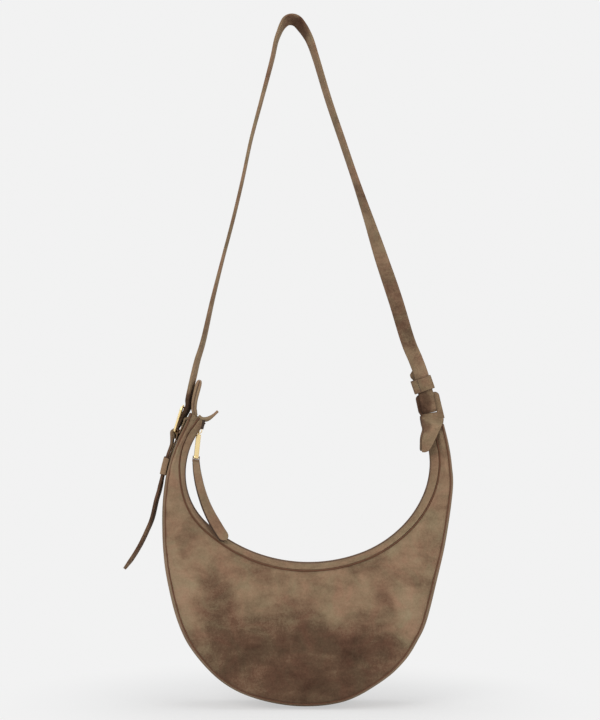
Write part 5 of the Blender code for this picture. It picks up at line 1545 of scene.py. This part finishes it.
    def ears(self) -> Pieces:
        """The doubled ear that stands on the horn and the thin leaf over the zip's end."""
        tip = self.form.crown(CROWN_POINTS)[0]
        suede = Suede("suede_ear", mottle=0.7, nap=Nap.BRUSHED_UP)
        line = hung(self.ear_shares, 60, tip, self.ear_height)
        share = np.linspace(0.0, 1.0, len(line))
        half = self.ear_width / 2 * round_end(share, 7, 0.06)
        wide = np.tile((0.0, -1.0, 0.0), (len(line), 1))
        thick = self.ear_layer * (0.92 + 0.42 * share) * round_end(share, 16, 0.05)
        shift = (thick + self.form.gap) / 2
        inner = ribbon("ear_inner_leather", line, wide, half, thick, -shift, suede, LEATHER_CROWN)
        outer = self.outer_ear(line, half, thick, shift, suede)
        paint = EdgePaint("ear_paint", (0.110, 0.066, 0.044, 1.0))
        edge = ribbon("ear_edge", line[:-2], wide[:-2], half[:-2] - LEATHER_CROWN, EDGE_FILL * self.form.gap,
                      0.0, paint)
        line = hung(self.leaf_shares, 50, self.form.point(*self.form.mouth_start), self.leaf_length)
        share = np.linspace(0.0, 1.0, len(line))
        half = self.leaf_width / 2 * round_end(share, 5, 0.06)
        thick = self.leaf_layer * (0.85 + 0.75 * np.sin(math.pi * np.minimum(1.0, 0.2 + share * 0.9)) ** 2)
        leaf = ribbon("leaf_leather", line, wide[:len(line)], half, thick, 0.0, suede, LEATHER_CROWN)
        end = lifted(tip + np.array(self.zip_end), -self.ear_width)
        tape = ribbon("zip_end_tape", end, np.tile((1.0, 0.0, 0.0), (len(end), 1)),
                      np.full(len(end), self.leaf_layer / 2), self.chape, 0.0,
                      EdgePaint("zip_end_paint", (0.035, 0.022, 0.016, 1.0)))
        return [(inner, "left_ear_inner"), (outer, "left_ear_outer"), (edge, ""), (leaf, "left_leaf"),
                (tape, "")]


@dataclass
class RightEnd:
    """The slit tab, its flaps over the horn and the strap's keeper."""

    form: BagForm = field(default_factory=BagForm)
    strap: Strap = field(default_factory=Strap)
    flap: float = 0.0014
    slit_spare: float = 0.0009
    plate_spread: float = 1.07
    plate_reach: float = 1.45
    curl: float = 0.0004
    keeper_corner: float = 0.0011
    keeper_swell: float = 0.012
    stitch_share: float = 0.42
    seam_share: float = 0.38
    seam_proud: float = 0.0001
    slit_slack: tuple = (0.15, 0.7, 0.6)
    flap_lap: float = 0.01
    flap_head: tuple = (-0.470, 0.525)
    flap_shares: tuple = ((-0.455, 0.53, 0.05), (-0.41, 0.50, 0.22), (-0.355, 0.424, 0.45),
                          (-0.30, 0.357, 0.69), (-0.331, 0.288, 0.95), (-0.355, 0.215, 1.2),
                          (-0.345, 0.108, 1.55), (-0.331, -0.015, 1.85), (-0.30, -0.18, 1.98))
    # painted shade round the slit and along the tab's left side; the last cloud is painted light on its right
    # side
    clouds: tuple = (
        ((0.131, -0.396), (0.013, 0.022), 12.0, -0.34), ((0.138, -0.415), (0.010, 0.012), 0.0, -0.22),
        ((0.150, -0.404), (0.006, 0.020), 12.0, 0.06),
    )

    def bend(self) -> tuple[Vector, Vector]:
        """Where the tab's leather starts to turn with the bag and where it has turned with it fully."""
        right, _, up = self.axes()
        return right + up * self.foot(), right - up * (0.5 * self.strap.plate_rise)

    def finish(self) -> EdgedSuede:
        """The tab's suede, with painted shade round the slit and along its left side, and a little painted
        light on its right.
        """
        return EdgedSuede("suede_tab", mottle=0.8, clouds=self.clouds)

    def foot(self) -> float:
        """How far above the swing's axis the plates end."""
        return self.strap.plate + 2.5 * self.form.gap

    def axes(self) -> tuple[Vector, Vector, Vector]:
        """The swing's right end, its axis and the way up across it."""
        left, right = self.strap.hinge()
        axis = (right - left).normalized()
        return right, axis, axis.cross(Vector((0.0, 1.0, 0.0))).normalized()

    def outlines(self) -> tuple[list, list]:
        """A plate's outline and its slit, across and up from the slit's middle."""
        strap = self.strap
        corner = strap.plate_corner
        low, top = -strap.plate_fall * self.plate_reach, strap.plate_rise - corner
        outline = [(-strap.plate_left * self.plate_spread, low), (-strap.plate_left, 0.0)]
        for cx, start in ((corner - strap.plate_left, 180.0), (strap.plate_right - corner, 90.0)):
            outline += [(cx + corner * math.cos(turn), top + corner * math.sin(turn))
                        for turn in np.radians(start - np.linspace(0.0, 90.0, 9))]
        side, left, right = (share * self.slit_spare for share in self.slit_slack)
        half = strap.width / 2 + side
        high = strap.total() / 2
        foot = -(strap.plate + 2 * self.form.gap + high)
        hole = [(-half, foot + left), (half, foot - right), (half, high), (-half, high)]
        return outline + [(strap.plate_right, low)], hole

    def plates(self) -> Pieces:
        """The tab's two layers round the slit, rounded at the top and cut back at the foot."""
        strap = self.strap
        slit, up, across = strap.slit()
        middle = slit - up * strap.total() / 2
        right, _, swing_up = self.axes()
        foot = right + swing_up * self.foot()
        suede = self.finish()
        made = []
        for label, side in FRONT_AND_BACK:
            shape = bmesh.new()
            edges = []
            for loop in self.outlines():
                verts = []
                for a, b in loop:
                    x, z = middle + across * a + up * b
                    point = Vector((x, side * (self.form.gap / 2 + strap.plate / 2), z))
                    point -= swing_up * min(0.0, (point - foot).dot(swing_up))
                    verts.append(shape.verts.new(point))
                edges += [shape.edges.new((a, b)) for a, b in zip(verts, verts[1:] + verts[:1])]
            bmesh.ops.triangle_fill(shape, edges=edges, use_beauty=True)
            for face in shape.faces:
                if face.normal.y * side < 0.0:
                    face.normal_flip()
            rim = {v for v in shape.verts if (v.co - foot).dot(swing_up) > MERGE_REACH}
            bmesh.ops.inset_region(shape, faces=shape.faces[:], thickness=2 * suede.painted,
                                   use_boundary=True, use_even_offset=True)
            layer = shape.loops.layers.uv.new("strip")
            for corner in (corner for face in shape.faces for corner in face.loops):
                corner[layer].uv = (corner.vert.co.x, 0.0 if corner.vert in rim else 2 * suede.painted)
            mesh = bpy.data.meshes.new(f"tab_{label}_leather")
            shape.to_mesh(mesh)
            shape.free()
            piece = place_object(f"tab_{label}_leather", mesh, suede)
            made.append((thickened(piece, strap.plate, SMALL_EDGE), f"right_tab_{label}"))
        return made

    def flaps(self) -> Pieces:
        """The leaves that run on from the plates over the horn."""
        strap, form = self.strap, self.form
        right, axis, up = self.axes()
        wide = strap.plate_left + strap.plate_right
        flush = form.gap / 2 + strap.plate / 2
        near = strap.plate + 2 * form.gap + self.flap / 2
        clear = (form.leather + self.flap) / 2 + form.panel_crown / 4
        around = run_along(form.crown(40), 2)[-1]
        start = self.flap_shares[0][2]
        first = self.flap_lap - self.foot() / strap.plate_rise
        table = smooth_through(((*self.flap_head, first),) + self.flap_shares, 44)
        low_depth, full_depth = form.half_depth
        suede = self.finish()
        made = []
        for label, side in FRONT_AND_BACK:
            rows = []
            for low, high, fall in table:
                settle = min(1.0, max(0.0, (fall - start) / self.flap_shares[2][2]))
                grown = float(form.swell(np.array(fall * strap.plate_rise / around)))
                far = low_depth + (full_depth - low_depth) * grown + clear
                close = flush + (near - flush) * min(1.0, max(0.0, (fall - first) / (start - first)))
                out = close + (far - close) * math.sin(settle * math.pi / 2)
                row = []
                for share in np.linspace(low, high, 17):
                    point = right + axis * (share * wide) - up * (fall * strap.plate_rise)
                    curl = self.curl * math.sin(9.0 * share + 5.0 * fall) * settle
                    row.append((point.x, side * (out + abs(curl)), point.z))
                rows.append(row)
            made.append((hide_sheet(f"tab_flap_{label}_leather", np.array(rows), self.flap, suede, -side,
                                    SMALL_EDGE, CutEdges.SIDES), f"tab_flap_{label}"))
        return made

    def loop(self) -> Pieces:
        """The keeper round the strap's folded end."""
        strap = self.strap
        gap = self.form.gap
        slit, up, across = strap.slit()
        offset = strap.fold_shift * strap.keeper_offset_share
        centre = slit + up * strap.keeper_rise - across * offset
        tilt = math.radians(strap.keeper_tilt)
        long_way = across * math.cos(tilt) + up * math.sin(tilt)
        high_way = up * math.cos(tilt) - across * math.sin(tilt)
        half_wide = strap.width / 2 + offset + 4 * gap + strap.keeper / 2
        half_deep = strap.bend() + strap.total() / 2 + 2 * gap + strap.keeper / 2
        outline = even_steps(np.array(round_box(half_wide, half_deep, self.keeper_corner, 6)), 61, 2)
        rows = []
        for rise in np.linspace(-0.5, 0.5, 11):
            flat = centre + high_way * (strap.keeper_height * rise) + np.outer(outline[:, 0], long_way)
            rows.append(lifted(flat, outline[:, 1] * (1.0 + self.keeper_swell * math.cos(rise * math.pi))))
        mesh = grid_mesh("keeper_leather", np.array(rows), CutEdges.ENDS)
        piece = place_object("keeper_leather", mesh, strap.keeper_finish())
        keeper = thickened(modified(piece, "WELD", merge_threshold=2 * MERGE_REACH), strap.keeper, SMALL_EDGE)
        seam = centre - long_way * (self.stitch_share * half_wide)
        stitch = [seam + high_way * (strap.keeper_height * rise)
                  for rise in np.linspace(-self.seam_share, self.seam_share, 12)]
        path = lifted(np.array(stitch), -(half_deep + strap.keeper / 2 + self.seam_proud))
        thread = Trees.grow("keeper_seam", Growth.STITCHES, [path], Coil("dark_thread"),
                            Pitch=0.0019, Long=0.0017, Wide=0.0009, High=0.0008)
        return [(keeper, "right_keeper"), (thread, "")]


@dataclass
class Hardware:
    """The gold slider, puller, buckle and prong, the puller's knuckle, the tab's root and the zip's stops."""

    left: LeftEnd = field(default_factory=LeftEnd)
    gold: Finish = Gold("gold_plate")

    def build(self, frame: dict) -> list[tuple[Piece, str, str]]:
        """Every piece of hardware with its node and body.


        Returns:
            The pieces.
        """
        knuckle = Suede("suede_knuckle", nap=Nap.BRUSHED_DOWN, mottle=0.6)
        stop = Coil("stop_moulding", (0.060, 0.040, 0.030, 1.0), 0.35)
        made = [(self.softened(frame, node, finish, radius), node, body) for node, finish, radius, body in (
            ("zip_slider", self.gold, 0.00025, "slider"), ("zip_puller", self.gold, 0.00030, "puller"),
            ("pull_knuckle", knuckle, 0.0002, "pull_tab"))]
        made += [(self.buckle(), "buckle_frame", "bag"), (self.prong(), "buckle_prong", "prong")]
        return made + [(self.softened(frame, node, finish, SMALL_EDGE), node, "bag") for node, finish in (
            ("right_tab_root", Suede("suede_root")), ("zip_stop_left", stop), ("zip_stop_right", stop))]

    @staticmethod
    def softened(frame: dict, node: str, finish: Finish, radius: float) -> Piece:
        """A merged copy of a CAD node with its edges rounded.

        Args:
            node: the CAD node's name.
            finish: the copy's finish.
            radius: how much its edges are rounded.

        Returns:
            The copy.
        """
        mesh = frame["nodes"][node].data.copy()
        work = bmesh.new()
        work.from_mesh(mesh)
        bmesh.ops.remove_doubles(work, verts=work.verts, dist=MERGE_REACH)
        bmesh.ops.dissolve_limit(work, angle_limit=math.radians(1.5), verts=work.verts, edges=work.edges)
        bmesh.ops.recalc_face_normals(work, faces=work.faces)
        work.to_mesh(mesh)
        work.free()
        piece = place_object(f"{node}_dressed", mesh, finish, 35.0)
        modified(piece, "BEVEL", width=radius, segments=3, limit_method="ANGLE",
                 angle_limit=math.radians(38.0))
        smoothed(baked(piece).data, 35.0)
        return piece

    def buckle(self) -> Piece:
        """The buckle's rectangular frame of round wire."""
        left = self.left
        low, _, up, _ = left.bars()
        half = left.strap.width / 2 + left.side + left.wire
        cross = left.turned(np.ones(1))[0]
        outline = np.array(round_box(half, left.length / 2, left.wire * left.corner_share, 9))
        points = lifted(low + np.outer(left.length / 2 + outline[:, 1], up)) - np.outer(outline[:, 0], cross)
        line = even_steps(points, 121)
        line = np.vstack([line, line[1:2]])
        return Trees.grow("buckle_wire", Growth.CORD, [line], self.gold, Radius=left.wire)

    def prong(self) -> Piece:
        """The wire prong from its loop on the low bar to its tip over the high bar."""
        left = self.left
        low, high, up, outward = left.bars()
        stand = left.wire + left.form.gap + left.prong_wire
        points = [low + (outward * math.cos(t) - up * math.sin(t)) * stand
                  for t in np.radians(np.linspace(left.prong_wrap, 0.0, 13))]
        points += [low + outward * stand + up * (left.length * share)
                   for share in (0.15, 0.3, 0.45, 0.6, 0.75, 0.9)]
        points.append(high + outward * stand + up * left.wire * 2)
        return Trees.grow("prong_wire", Growth.CORD, [hung(points, 60)], self.gold, Radius=left.prong_wire)


@dataclass
class Studio:
    """The pale floor and backdrop, the lamps and the camera at the photograph's place."""

    ground: float = -0.7116
    floor_reach: float = 6.0
    pale: tuple = (0.887, 0.887, 0.887, 1.0)
    paper: tuple = (0.80, 0.80, 0.80, 1.0)
    daylight: tuple = (0.97, 0.985, 1.0, 1.0)
    fill: float = 0.40
    shadow_share: float = 0.42
    shadow_reach: tuple = (0.10, 0.34)
    lamps_at: tuple = (("key", (-1.3, -1.9, 0.9), 1.6, 30.0), ("side", (1.7, -1.6, 0.2), 1.8, 16.0),
                       ("top", (0.1, -0.1, 1.6), 1.6, 16.0))
    lit_point: tuple = (0.0, 0.0, -0.45)
    camera_at: tuple = (0.01045, -2.2, -0.3511)
    picture_height: float = 0.7524
    sensor: float = 24.0

    def build(self) -> None:
        """Set up everything round the bag."""
        self.floor()
        self.world()
        self.lamps()
        self.camera()
        bpy.context.scene.view_settings.view_transform = "Standard"

    @staticmethod
    def mixed(board: NodeBoard, kind: str, share: Socket, first: Socket, second: Socket) -> None:
        """Mix two shaders by a share and send them to an output node of a kind."""
        blended = board.add("ShaderNodeMixShader", {0: share, 1: first, 2: second})
        board.add(kind, {0: blended.outputs[0]})

    def seen(self, board: NodeBoard) -> Socket:
        """1 for rays from the camera, a mirror or glass, which see the backdrop's own tone."""
        path = board.add("ShaderNodeLightPath").outputs
        return board.math("MAXIMUM", board.math("MAXIMUM", path["Is Camera Ray"], path["Is Glossy Ray"]),
                          path["Is Transmission Ray"])

    def floor(self) -> None:
        """A wide pale floor that shows as the backdrop's tone, with the bag's shadow on it near the bag."""
        mesh = bpy.data.meshes.new("floor")
        reach = self.floor_reach
        corners = ((-reach, -reach), (reach, -reach), (reach, reach), (-reach, reach))
        mesh.from_pydata([(x, y, self.ground) for x, y in corners], [], [(0, 1, 2, 3)])
        made = bpy.data.materials.new("floor_paper")
        made.use_nodes = True
        made.node_tree.nodes.clear()
        board = NodeBoard(made.node_tree)
        away = board.vector("MULTIPLY", {0: board.coordinates(), 1: (1.0, 1.0, 0.0)})
        near = board.ramp(board.vector("LENGTH", {0: away}, 1), *self.shadow_reach, self.shadow_share, 0.0,
                          "SMOOTHSTEP")
        share = board.math("MAXIMUM", near, board.math("SUBTRACT", 1.0, self.seen(board)))
        glow = board.add("ShaderNodeEmission", {0: self.pale, 1: 1.0}).outputs[0]
        paper = board.add("ShaderNodeBsdfDiffuse", {0: self.paper}).outputs[0]
        self.mixed(board, "ShaderNodeOutputMaterial", share, glow, paper)
        mesh.materials.append(made)
        floor = linked("floor", mesh)

    def world(self) -> None:
        """A pale world for the camera and for gloss, and soft fill for the rest."""
        world = bpy.data.worlds.new("studio")
        bpy.context.scene.world = world
        world.use_nodes = True
        world.node_tree.nodes.clear()
        board = NodeBoard(world.node_tree)
        fill = board.add("ShaderNodeBackground", {0: self.daylight, 1: self.fill}).outputs[0]
        back = board.add("ShaderNodeBackground", {0: self.pale, 1: 1.0}).outputs[0]
        self.mixed(board, "ShaderNodeOutputWorld", self.seen(board), fill, back)

    def lamps(self) -> None:
        """A large soft key from above left, a weaker one from the right and one from above."""
        for name, place, size, power in self.lamps_at:
            lamp = tuned(bpy.data.lights.new(name, "AREA"), shape="DISK", size=size, energy=power)
            aim = (Vector(self.lit_point) - Vector(place)).to_track_quat("-Z", "Y").to_euler()
            tuned(linked(name, lamp), location=place, rotation_euler=aim)

    def camera(self) -> None:
        """The photograph's camera: level, 2.2 m away, at the height of the picture's middle."""
        lens = tuned(bpy.data.cameras.new("camera"), sensor_fit="VERTICAL", sensor_height=self.sensor,
                     lens=-self.sensor * self.camera_at[1] / self.picture_height)
        bpy.context.scene.camera = tuned(linked("camera", lens), location=self.camera_at,
                                         rotation_euler=(math.radians(90.0), 0.0, 0.0))


def settle(piece: Piece, body: str, node: str) -> None:
    """Make a piece ride on a body and stand for its CAD node, where it has one."""
    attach(piece, body)
    note(piece, body, node)


def bend(piece: Piece, node: str, across: tuple[Vector, Vector]) -> None:
    """Bake a piece's place into its mesh and have it stand for its CAD node."""
    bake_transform(piece)
    note(piece, "strap to bag", node)


def note(piece: Piece, body: str, node: str) -> None:
    """Name what a piece stands for, and report it."""
    if node:
        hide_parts(node)
    log.info("%s rides on %s, %d faces", piece.name, body, len(piece.data.polygons))


def main() -> None:
    """Build the bag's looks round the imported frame."""
    logging.basicConfig(level=logging.INFO, format="%(name)s: %(message)s")
    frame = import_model()
    form = BagForm()
    strap = Strap(form)
    left = LeftEnd(form, strap)
    right = RightEnd(form, strap)
    zip_fastener = Zip(form)
    Studio().build()
    for piece, node in BagBody(form).build() + zip_fastener.build() + left.build():
        settle(piece, "bag", node)
    for end, pieces in ((left, left.tail()), (right, right.flaps())):
        for piece, node in pieces:
            bend(piece, node, end.bend())
    for piece, node in zip_fastener.pull_tab():
        settle(piece, "pull_tab", node)
    for piece, node in strap.build() + right.plates() + right.loop():
        settle(piece, "strap", node)
    for piece, node, body in Hardware(left).build(frame):
        settle(piece, body, node)
    bpy.context.view_layer.update()


if __name__ == "__main__":
    main()
